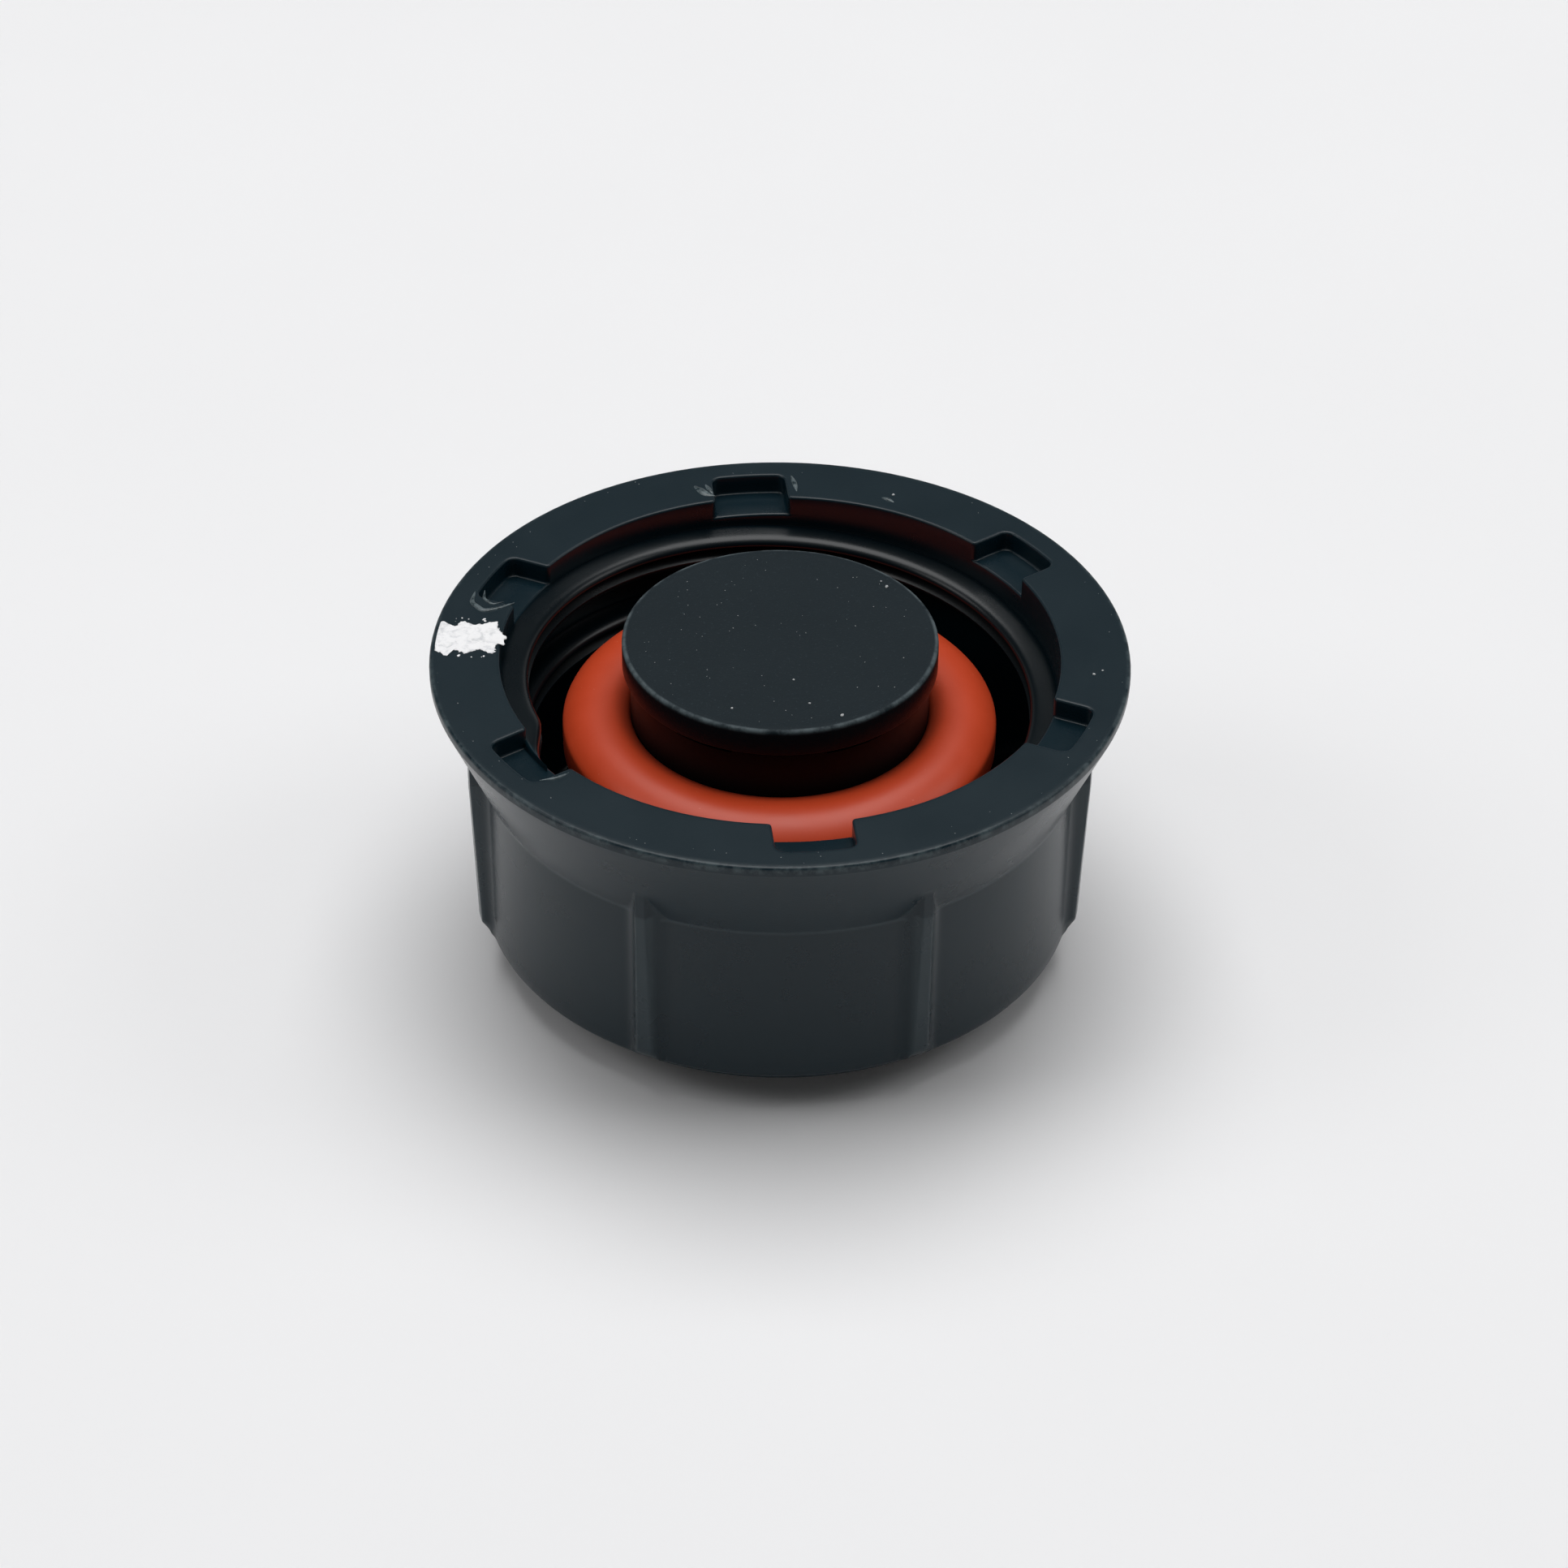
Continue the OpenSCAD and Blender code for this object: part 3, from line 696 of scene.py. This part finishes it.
def mouth_outline():
    """Plan of the mouth: points round the bore and its notches, and the nearest bore points."""
    half = NOTCH_W / 2
    start = half + NOTCH_MOUTH_ROUND
    mouth_u = math.sqrt(BORE_R ** 2 - start ** 2)
    pocket_u = math.sqrt(NOTCH_R ** 2 - (half - NOTCH_POCKET_ROUND) ** 2)
    quarter = np.linspace(0, math.pi / 2, 7)
    side = [(mouth_u + NOTCH_MOUTH_ROUND * (1 - math.cos(a)),
             -start + NOTCH_MOUTH_ROUND * math.sin(a)) for a in quarter]
    side += [(u, -half) for u in np.linspace(side[-1][0], pocket_u - NOTCH_POCKET_ROUND, 6)[1:-1]]
    side += [(pocket_u - NOTCH_POCKET_ROUND * (1 - math.sin(a)),
              -half + NOTCH_POCKET_ROUND * (1 - math.cos(a))) for a in quarter]
    back = [(math.sqrt(NOTCH_R ** 2 - v ** 2), v)
            for v in np.linspace(side[-1][1], -side[-1][1], 9)[1:-1]]
    local = np.array(side + back + [(u, -v) for u, v in side[::-1]])
    run = np.concatenate([[0], np.cumsum(np.linalg.norm(np.diff(local, axis=0), axis=1))])
    v_bore = start * (2 * run / run[-1] - 1)
    local_bore = np.stack([np.sqrt(BORE_R ** 2 - v_bore ** 2), v_bore], 1)
    open_half = math.asin(start / BORE_R)
    spacing = 2 * math.pi / NOTCHES
    points, bore = [], []
    for i in range(NOTCHES):
        a = NOTCH_TURN + i * spacing
        spin = np.array([[math.cos(a), -math.sin(a)], [math.sin(a), math.cos(a)]])
        points.append(local @ spin.T)
        bore.append(local_bore @ spin.T)
        plain = np.linspace(a + open_half, a + spacing - open_half, 16)[1:-1]
        arc = BORE_R * np.stack([np.cos(plain), np.sin(plain)], 1)
        points.append(arc)
        bore.append(arc)
    return np.concatenate(points), np.concatenate(bore)


def mouth_rings(skin):
    """Rings from the rim face over the mouth's edge, down the notches and on to the bore."""
    outline, bore = mouth_outline()
    along = np.roll(outline, -1, 0) - np.roll(outline, 1, 0)
    along /= np.linalg.norm(along, axis=1)[:, None]
    outwards = np.stack([along[:, 1], -along[:, 0]], 1)
    bore_out = bore / BORE_R
    share = np.clip(np.linalg.norm(outline - bore, axis=1) / .6, 0, 1)[:, None]
    floor_z = RIM_Z - NOTCH_DEPTH
    edge = NOTCH_EDGE_ROUND
    count = len(outline)

    def ring(plan, z):
        height = np.broadcast_to(np.asarray(z, float).reshape(-1, 1), (count, 1))
        return skin.ring(np.concatenate([plan, height], 1))

    rings = [ring(outline + outwards * (edge + .2), RIM_Z), ring(outline + outwards * edge, RIM_Z)]
    arc = np.linspace(0, math.pi / 2, 5)
    for a in arc[1:]:
        rings.append(ring(outline + outwards * edge * (1 - math.sin(a)), RIM_Z - edge * (1 - math.cos(a))))
    rings.append(ring(outline, RIM_Z - .5 * NOTCH_DEPTH))
    for a in arc:
        rings.append(ring(outline - outwards * edge * share * (1 - math.cos(a)),
                          floor_z + edge * (1 - math.sin(a))))
    inner = bore + bore_out * edge * share
    rings.append(ring((outline - outwards * edge * share + inner) / 2, floor_z - .05 * (1 - share)))
    for a in arc:
        drop = edge * ((1 - math.cos(a)) * share + a / arc[-1] * (1 - share))
        rings.append(ring(bore + bore_out * edge * share * (1 - math.sin(a)),
                          floor_z - .1 * (1 - share) - drop))
    for z in (floor_z - .6, 24, 18, 12):
        rings.append(ring(bore, z))
    return rings, bore


def tower_angles(radius):
    """Angles round the tower with a line on each side of every window."""
    half = math.asin(WINDOW_W / 2 / radius)
    spacing = 2 * math.pi / WINDOWS
    one = [*np.linspace(-half, half, 7), *np.linspace(half, spacing - half, 19)[1:-1]]
    return np.concatenate([np.array(one) + i * spacing for i in range(WINDOWS)])


def add_tower(skin, last_bore_ring):
    """The cavity's floor, the tower with its grooves and windows, and the middle of the floor."""
    per_window = len(tower_angles(TOWER_IN_R)) // WINDOWS
    window = {i * per_window + k for i in range(WINDOWS) for k in range(6)}
    low, high = WINDOW_Z
    slope = FLOOR_RISE / (BORE_R - TOWER_OUT_R)
    outside = rounded([(TOWER_OUT_R + 1.4, FLOOR_Z + 1.4 * slope, 0), (TOWER_OUT_R, FLOOR_Z, .5),
                       (TOWER_OUT_R, low, 0)])
    inside = [(TOWER_OUT_R, high), (TOWER_OUT_R, TOWER_TOP_Z - .3), (TOWER_OUT_R - .09, TOWER_TOP_Z - .09),
              (TOWER_OUT_R - .3, TOWER_TOP_Z), (TOWER_IN_R + .3, TOWER_TOP_Z),
              (TOWER_IN_R + .09, TOWER_TOP_Z - .09), (TOWER_IN_R, TOWER_TOP_Z - .3),
              (TOWER_IN_R, RELIEF_Z[1]), (GROOVE_R, RELIEF_Z[1]), (GROOVE_R, high), (GROOVE_R, low),
              (GROOVE_R, RELIEF_Z[0]), (TOWER_IN_R, RELIEF_Z[0]), (TOWER_IN_R, CLIP_GROOVE_Z[1]),
              (GROOVE_R, CLIP_GROOVE_Z[1]), (GROOVE_R, CLIP_GROOVE_Z[0]),
              (TOWER_IN_R, CLIP_GROOVE_Z[0]), (TOWER_IN_R, FLOOR_Z)]
    stations = [*map(tuple, outside), *inside]
    rings = [skin.circle(tower_angles(r), r, z) for r, z in stations]
    skin.zipped(last_bore_ring, rings[0])
    outer_low = len(outside) - 1
    inner_high = next(i for i, s in enumerate(stations) if s == (GROOVE_R, high))
    for i, (first, second) in enumerate(zip(rings, rings[1:])):
        skin.band(first, second, window if i in (outer_low, inner_high) else ())
    outer_foot, outer_head = rings[outer_low], rings[outer_low + 1]
    inner_head, inner_foot = rings[inner_high], rings[inner_high + 1]
    for w in range(WINDOWS):
        first = w * per_window
        last = first + 6
        for k in range(first, last):
            skin.faces.append((outer_foot[k], outer_foot[k + 1], inner_foot[k + 1], inner_foot[k]))
            skin.faces.append((outer_head[k + 1], outer_head[k], inner_head[k], inner_head[k + 1]))
        skin.faces.append((outer_head[first], outer_foot[first], inner_foot[first], inner_head[first]))
        skin.faces.append((outer_foot[last], outer_head[last], inner_head[last], inner_foot[last]))
    skin.centre(rings[-1], FLOOR_Z, upwards=True)


def add_ribs(skin):
    """Ribs from the tower to the skirt, sunk into both."""
    inner_u, outer_u = TOWER_OUT_R - .6, BORE_R + .6
    half = RIB_T / 2
    slope = FLOOR_RISE / (BORE_R - TOWER_OUT_R)
    section = rounded([(-half, 0, 0), (half, 0, 0), (half, 1, .25), (-half, 1, .25), (-half, .5, 0)])
    for i in range(NOTCHES):
        a = NOTCH_TURN + i * 2 * math.pi / NOTCHES
        ends = []
        for u in (inner_u, outer_u):
            low = FLOOR_Z + (u - TOWER_OUT_R) * slope - .6
            points = []
            for v, h in section:
                z = RIB_TOP_Z - (1 - h) if h > .5 else low + h * (RIB_TOP_Z - low)
                points.append((u * math.cos(a) - v * math.sin(a), u * math.sin(a) + v * math.cos(a), z))
            ends.append(skin.ring(points))
        skin.band(ends[1], ends[0])
        skin.faces.append(tuple(ends[1]))
        skin.faces.append(tuple(ends[0][::-1]))


def ridge_tree():
    """Pushes the skirt out into ridges, each a flat crest between two hollows that meet the flare."""
    inputs = ["Ridges", "First ridge", "Skirt radius", "Crest radius", "Crest half width", "Hollow radius",
              "Hollow distance", "Draft", "Flare foot", "Ridge foot", "Blend", "Finish"]
    tree, start, value = nodes_tree("grip_ridges", inputs)
    place = start.node("GeometryNodeInputPosition")
    x, y, z, r = split(place)
    spacing = 2 * math.pi / value["Ridges"]
    turn = y.maths("ARCTAN2", x) - value["First ridge"]
    off = abs(turn.maths("WRAP", spacing * 0.5, spacing * -0.5))
    crest, distance, hollow = value["Crest radius"], value["Hollow distance"], value["Hollow radius"]
    half_width = value["Crest half width"]
    far = (crest * crest + half_width * half_width).maths("SQRT")
    opening = (far * far + distance * distance - hollow * hollow) / (2 * far * distance)
    half = half_width.maths("ARCTAN2", crest) + opening.maths("ARCCOSINE")
    beside = (half - off).maths("MAXIMUM", 0.0)
    across = distance * beside.maths("SINE")
    under = (hollow * hollow - across * across).maths("MAXIMUM", 0.0).maths("SQRT")
    flank = distance * beside.maths("COSINE") - under
    drafted = crest - (value["Flare foot"] - z).maths("MAXIMUM", 0.0) * value["Draft"]
    ended = value["Skirt radius"] + (z - value["Ridge foot"]) * 2.2
    ridge = flank.maths("SMOOTH_MIN", drafted, 0.2).maths("SMOOTH_MIN", ended, 0.4)
    pushed = r.maths("SMOOTH_MAX", ridge, value["Blend"])
    grown = (pushed / r).maths("MAXIMUM", 1.0)
    moved = place.node("ShaderNodeVectorMath", {"operation": "MULTIPLY"}, {
        0: place, 1: grown.node("ShaderNodeCombineXYZ", {}, {"X": grown, "Y": grown, "Z": 1.0})})
    outside = (r > BORE_R + 1) * (z < FLARE_TOP_Z - 3)
    shaped = start.node("GeometryNodeSetPosition", {}, {
        "Geometry": start.output("Geometry"), "Selection": outside, "Position": moved})
    end_tree(shaped, value["Finish"])
    return tree


def thread_tree():
    """A ridge that winds round the bore, from a grid whose rows go round its section."""
    inputs = ["Start", "Turns", "Pitch", "Start height", "Root radius", "Depth", "Crest width",
              "Crest hollow", "Flank", "Sink", "Finish"]
    tree, start, value = nodes_tree("neck_thread", inputs)
    grid = start.node("GeometryNodeMeshGrid", {}, {
        "Size X": 1.0, "Size Y": 1.0, "Vertices X": 260, "Vertices Y": 65})
    place = grid.node("GeometryNodeInputPosition")
    parts = place.node("ShaderNodeSeparateXYZ", {}, {"Vector": place})
    along = parts.output("X") + 0.5
    round_it = parts.output("Y") * (2 * math.pi)
    fade = rise(along, 0.0, 0.035) * (1 - rise(along, 0.94, 1.0))
    cosine, sine = round_it.maths("COSINE"), round_it.maths("SINE")
    inwards = cosine.maths("SIGN") * abs(cosine) ** 0.55
    upwards = sine.maths("SIGN") * abs(sine) ** 0.55
    shown = (inwards + 1) * 0.5
    r = value["Root radius"] + value["Sink"] - shown * (value["Depth"] * fade + value["Sink"] * fade)
    hollow = (1 - rise(abs(upwards - 0.05), 0.05, 0.5)) * rise(inwards, 0.0, 0.8) * fade
    r = r + hollow * value["Crest hollow"]
    half_width = (value["Crest width"] * 0.5 + value["Flank"] * (1 - shown)) * between(fade, 0.75, 1.0)
    angle = value["Start"] - along * value["Turns"] * (2 * math.pi)
    z = value["Start height"] - along * value["Turns"] * value["Pitch"] + upwards * half_width
    moved = r.node("ShaderNodeCombineXYZ", {}, {
        "X": r * angle.maths("COSINE") * MM, "Y": r * angle.maths("SINE") * MM, "Z": z * MM})
    shaped = grid.node("GeometryNodeSetPosition", {}, {"Geometry": grid, "Position": moved})
    closed = shaped.node("GeometryNodeMergeByDistance", {}, {"Geometry": shaped, "Distance": 1e-6})
    end_tree(closed, value["Finish"])
    return tree


def facing_out(piece):
    """Turns the faces of a closed mesh round if they point inwards."""
    shape = bmesh.new()
    shape.from_mesh(piece.data)
    if shape.calc_volume(signed=True) < 0:
        bmesh.ops.reverse_faces(shape, faces=shape.faces)
    shape.to_mesh(piece.data)
    shape.free()
    return piece


def joined(name, pieces):
    """Puts the meshes of several pieces into the first one, which gets the name."""
    shape = bmesh.new()
    for piece in pieces:
        shape.from_mesh(piece.data)
    shape.to_mesh(pieces[0].data)
    shape.free()
    for piece in pieces[1:]:
        bpy.data.objects.remove(piece)
    pieces[0].name = name
    return pieces[0]


def cap_body(finish):
    skin = Skin()
    angles = outer_angles()
    stations = outer_stations()
    outside = [skin.circle(angles, r, z) for r, z in stations[1:]]
    skin.centre(outside[0], stations[0][1], upwards=False)
    for first, second in zip(outside, outside[1:]):
        skin.band(first, second)
    inside, bore = mouth_rings(skin)
    skin.flat_ring(outside[-1], inside[0])
    slope = FLOOR_RISE / (BORE_R - TOWER_OUT_R)
    for r, z in rounded([(BORE_R, 9, 0), (BORE_R, FLOOR_Z + FLOOR_RISE, .8),
                         (BORE_R - 2, FLOOR_Z + FLOOR_RISE - 2 * slope, 0)]):
        heights = np.full((len(bore), 1), z)
        inside.append(skin.ring(np.concatenate([bore * (r / BORE_R), heights], 1)))
    for first, second in zip(inside, inside[1:]):
        skin.band(first, second)
    add_tower(skin, inside[-1])
    add_ribs(skin)
    shell = grow(skin.piece("cap_shell", finish), ridge_tree(), {
        "Ridges": RIDGES, "First ridge": RIDGE_TURN, "Skirt radius": SKIRT_R, "Crest radius": RIDGE_TOP_R,
        "Crest half width": RIDGE_W / 2, "Hollow radius": RIDGE_HOLLOW, "Hollow distance": HOLLOW_AT_R,
        "Draft": RIDGE_DRAFT, "Flare foot": FLARE_FOOT_Z, "Ridge foot": HEM_Z + .3, "Blend": 0.14,
        "Finish": finish})
    rise_to_start = (THREAD_START - THREAD_KNOWN_ANGLE) / (2 * math.pi) * THREAD_PITCH
    thread = grow(Skin().piece("thread", finish), thread_tree(), {
        "Start": THREAD_START, "Turns": THREAD_TURNS, "Pitch": THREAD_PITCH,
        "Start height": THREAD_KNOWN_Z + rise_to_start, "Root radius": BORE_R, "Depth": THREAD_DEPTH,
        "Crest width": THREAD_CREST_W, "Crest hollow": THREAD_HOLLOW, "Flank": THREAD_FLANK, "Sink": 0.4,
        "Finish": finish})
    thread.data.shade_smooth()
    facing_out(thread)
    body = joined("cap_body_moulding", [shell, thread])
    body.data.set_sharp_from_angle(angle=math.radians(38))
    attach(body, "cap")
    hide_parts("cap_body")
    return body


def neck_seal(finish):
    meets_z = SEAL_TOP_Z - SEAL_DOME
    def dome(r):
        return meets_z + math.sqrt(SEAL_DOME ** 2 - (r - SEAL_MID_R) ** 2)
    crown = [(r, dome(r), 0) for r in np.linspace(SEAL_R - .12, BARREL_R + .25, 26)]
    corners = [(BARREL_R, SEAL_FOOT_Z, .2), (SEAL_R, SEAL_FOOT_Z, .4), (SEAL_R, dome(SEAL_R) - .25, 0),
               (SEAL_R - .03, dome(SEAL_R) - .05, 0), *crown, (BARREL_R + .06, dome(BARREL_R) - .1, 0),
               (BARREL_R, dome(BARREL_R) - .35, 0)]
    seal = turned("neck_seal_ring", corners, finish)
    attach(seal, "insert")
    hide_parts("neck_seal")
    return seal


def end_cover(finish):
    corners = [(0, COVER_UNDER_Z, 0), (COVER_IN_R, COVER_UNDER_Z, .15), (COVER_IN_R, COVER_FOOT_Z, .12),
               (COVER_R, COVER_FOOT_Z, .15), (COVER_R, COVER_TOP_Z, COVER_ROUND),
               (COVER_R - .9, COVER_TOP_Z, .3), (COVER_R - 1.3, COVER_TOP_Z - .03, .3), (6, COVER_TOP_Z - .03, 0),
               (0, COVER_TOP_Z - .03, 0)]
    cover = turned("end_cover_disc", corners, finish)
    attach(cover, "insert")
    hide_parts("end_cover")
    return cover


def rim_place(x, y, lift):
    return [x, y, RIM_Z + lift]


def paint_dab(finish):
    """A thin dab of paint on the rim: a ragged outline, a soft edge and a few flecks beside it."""
    rng = np.random.default_rng(7)
    outline = np.array(DAB_OUTLINE)
    closed = np.vstack([outline, outline[:1]])
    run = np.concatenate([[0], np.cumsum(np.linalg.norm(np.diff(closed, axis=0), axis=1))])
    along = np.linspace(0, run[-1], 150, endpoint=False)
    edge = np.stack([np.interp(along, run, closed[:, k]) for k in (0, 1)], 1)
    edge += rng.normal(0, 0.07, edge.shape)
    reach_out = np.linalg.norm(edge, axis=1)
    edge *= (np.minimum(reach_out, RIM_R - 0.4) / reach_out)[:, None]
    middle = edge.mean(0)
    skin = Skin()
    rings = []
    for share, lift in ((1.0, -0.03), (0.985, 0.03), (0.95, 0.055), (0.8, 0.06), (0.6, 0.075), (0.35, 0.06)):
        spot = middle + (edge - middle) * share
        lifts = lift + (rng.normal(0, 0.008, len(edge)) if 0.3 < share < 0.97 else 0)
        rings.append(skin.ring(np.column_stack([spot, RIM_Z + lifts * np.ones(len(edge))])))
    for first, second in zip(rings, rings[1:]):
        skin.band(second, first)
    centre = len(skin.points)
    skin.points.append(rim_place(*middle, 0.07))
    skin.faces += [(b, a, centre) for a, b in zip(rings[-1], np.roll(rings[-1], -1))]
    skin.faces.append(tuple(rings[0]))
    for _ in range(26):
        turn = rng.uniform(0, 2 * math.pi)
        spot = middle + np.array([3.9 * math.cos(turn), 2.9 * math.sin(turn)]) * rng.uniform(0.85, 1.08)
        if BORE_R + 0.4 < np.linalg.norm(spot) < RIM_R - 0.5:
            skin.fleck(spot, rng.uniform(0.04, 0.16), 0.03, rng)
    dab = skin.piece("paint_dab", finish, sharp=60)
    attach(dab, "cap")
    return facing_out(dab)


def burrs(finish):
    """Raised burrs, nicks and crescents beside the notches, each a flattened ridge along its line."""
    skin = Skin()
    for width, height, line in BURRS:
        path = np.array(line, float)
        run = np.concatenate([[0], np.cumsum(np.linalg.norm(np.diff(path, axis=0), axis=1))])
        along = np.linspace(0, run[-1], 6 * len(path))
        smooth = np.stack([np.interp(along, run, path[:, k]) for k in (0, 1)], 1)
        for _ in range(3):
            smooth[1:-1] = (smooth[:-2] + 2 * smooth[1:-1] + smooth[2:]) / 4
        ahead = np.gradient(smooth, axis=0)
        ahead /= np.linalg.norm(ahead, axis=1)[:, None]
        side = np.stack([-ahead[:, 1], ahead[:, 0]], 1)
        share = np.sin(np.linspace(0.12, math.pi - 0.12, len(smooth)))[:, None]
        turns = np.linspace(0, 2 * math.pi, 9)[:-1]
        sections = []
        for spot, across, grow_share in zip(smooth, side, share[:, 0]):
            section = [[*(spot + across * width / 2 * grow_share * math.cos(t)),
                        RIM_Z + height * (grow_share * math.sin(t) - 0.25)] for t in turns]
            sections.append(skin.ring(section))
        for first, second in zip(sections, sections[1:]):
            skin.band(first, second)
        skin.faces.append(tuple(sections[0][::-1]))
        skin.faces.append(tuple(sections[-1]))
    marks = skin.piece("rim_burrs", finish, sharp=60)
    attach(marks, "cap")
    return facing_out(marks)


def dust(finish):
    """Specks of dust: a few that the photograph shows and some scattered ones."""
    rng = np.random.default_rng(11)
    on_cover, on_cap = Skin(), Skin()
    for x, y, size in COVER_SPECKS:
        on_cover.fleck((x, y), size, size * 0.6, rng, COVER_TOP_Z - 0.03)
    for _ in range(70):
        turn, far = rng.uniform(0, 2 * math.pi), COVER_R * math.sqrt(rng.uniform(0, 0.85))
        size = rng.uniform(0.02, 0.05)
        on_cover.fleck((far * math.cos(turn), far * math.sin(turn)), size, size * 0.5, rng, COVER_TOP_Z - 0.03)
    for x, y, size in RIM_SPECKS:
        on_cap.fleck((x, y), size, size * 0.6, rng)
    for _ in range(50):
        turn, far = rng.uniform(0, 2 * math.pi), rng.uniform(NOTCH_R + 0.3, RIM_R - 0.6)
        on_cap.fleck((far * math.cos(turn), far * math.sin(turn)), rng.uniform(0.02, 0.05), 0.02, rng)
    for name, skin, body in (("cover_dust", on_cover, "insert"), ("rim_dust", on_cap, "cap")):
        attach(skin.piece(name, finish, sharp=80), body)


def dress(node, finish):
    """Gives a CAD node its finish."""
    shown = frame["nodes"][node]
    shown.data.materials.clear()
    shown.data.materials.append(finish)


def spring(node, finish, body):
    """A spring as a mesh of its own, attached to its body."""
    solid = frame["nodes"][node]
    wire = bpy.data.objects.new(node + "_wire", solid.data.copy())
    bpy.context.collection.objects.link(wire)
    wire.matrix_world = solid.matrix_world
    wire.data.materials.clear()
    wire.data.materials.append(finish)
    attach(wire, body)
    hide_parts(node)
    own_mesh(wire)
    return wire


# Studio


def floor_finish():
    material, shader, here = new_finish("floor", Roughness=0.6)
    feed(shader, "Base Color", mixed(cloud(here, 60, 3), (0.83, 0.83, 0.84), (0.86, 0.86, 0.87)))
    return material


def studio():
    skin = Skin()
    size = 3000
    skin.points = [[-size, -size, 0], [size, -size, 0], [size, size, 0], [-size, size, 0]]
    skin.faces = [(0, 1, 2, 3)]
    floor = skin.piece("floor", floor_finish())

    world = bpy.data.worlds.new("studio")
    bpy.context.scene.world = world
    world.use_nodes = True
    tree = world.node_tree
    background = tree.nodes["Background"]
    aim = Wire(tree).node("ShaderNodeTexCoord").output("Generated")
    up = aim.node("ShaderNodeSeparateXYZ", {}, {"Vector": aim}).output("Z")
    stops = {"stops": [(0.0, 0.8), (0.2, 0.6), (0.36, 0.05), (0.72, 0.06), (0.88, 0.6), (1.0, 0.9)]}
    tone = up.node("ShaderNodeValToRGB", stops, {"Fac": up})
    tree.links.new(tone.socket, background.inputs["Color"])
    background.inputs["Strength"].default_value = 0.74

    lamps = [("overhead", (0, 0.26, 1.07), (0.9, 0.9), 9.4), ("left_softbox", (-0.9, -0.1, 0.75), (0.5, 0.5), 1.8),
             ("right_softbox", (0.9, 0.1, 0.75), (0.5, 0.5), 1.8)]
    for name, place, size, watts in lamps:
        light = bpy.data.lights.new(name, "AREA")
        light.shape = "RECTANGLE"
        light.size, light.size_y = size
        light.energy = watts
        lamp = bpy.data.objects.new(name, light)
        lamp.location = place
        lamp.rotation_euler = (Vector((0, 0, 0.02)) - Vector(place)).to_track_quat("-Z", "Y").to_euler()
        bpy.context.scene.collection.objects.link(lamp)


def camera():
    """Places the camera as the photograph has it: the rim's centre falls on its pixel."""
    pan = math.atan2(RIM_CENTRE_PX[0] - PHOTO_W / 2, FOCAL_PX)
    tilt = math.atan2(RIM_CENTRE_PX[1] - PHOTO_W / 2, math.hypot(FOCAL_PX, RIM_CENTRE_PX[0] - PHOTO_W / 2))
    back = Vector((0, -math.cos(CAMERA_ELEVATION), math.sin(CAMERA_ELEVATION)))
    place = Vector((0, 0, RIM_Z * MM)) + back * CAMERA_DISTANCE
    right = Vector((1, 0, 0))
    down = (-back).cross(right)
    straight = Matrix((right, down, -back))
    roll = Matrix.Rotation(CAMERA_ROLL, 3, "Z")
    lift = Matrix.Rotation(-tilt, 3, "X")
    swing = Matrix.Rotation(pan, 3, "Y")
    right, down, ahead = swing @ lift @ roll @ straight
    data = bpy.data.cameras.new("camera")
    data.sensor_width = SENSOR_MM
    data.lens = FOCAL_PX * SENSOR_MM / PHOTO_W
    data.clip_start = 0.01
    seen = bpy.data.objects.new("camera", data)
    axes = Matrix((right, -down, -ahead)).transposed()
    seen.matrix_world = Matrix.Translation(place) @ axes.to_4x4()
    bpy.context.scene.collection.objects.link(seen)
    bpy.context.scene.camera = seen


camera()
studio()
CAP = cap_plastic()
STEEL = drawn_metal("spring_steel", (0.42, 0.43, 0.44), (0.6, 0.6, 0.6), (1, 1, 6))
WASHER = drawn_metal("washer_steel", (0.5, 0.5, 0.51), (0.66, 0.66, 0.66), (6, 1, 1))
BRASS = drawn_metal("valve_brass", (0.5, 0.34, 0.12), (0.68, 0.5, 0.22), (1, 1, 8))
RUBBER = black_rubber()
cap_body(CAP)
neck_seal(orange_silicone())
end_cover(cover_plastic())
paint_dab(paint_white())
burrs(worn_plastic())
dust(dust_grey())
for node, finish in (
        ("valve_housing", housing_plastic()), ("slip_washer", white_nylon()), ("housing_o_ring", RUBBER),
        ("retaining_ring", STEEL), ("spring_seat", seat_plastic()),
        ("pressure_valve_plate", BRASS), ("pressure_valve_seal", RUBBER), ("seal_clamp_washer", WASHER),
        ("vacuum_valve_button", BRASS), ("vacuum_valve_seal", RUBBER),
        ("stem_push_nut", WASHER)):
    dress(node, finish)
spring("main_spring", STEEL, "insert")
spring("vacuum_spring", STEEL, "pressure_valve")

bpy.context.scene.view_settings.view_transform = "Standard"
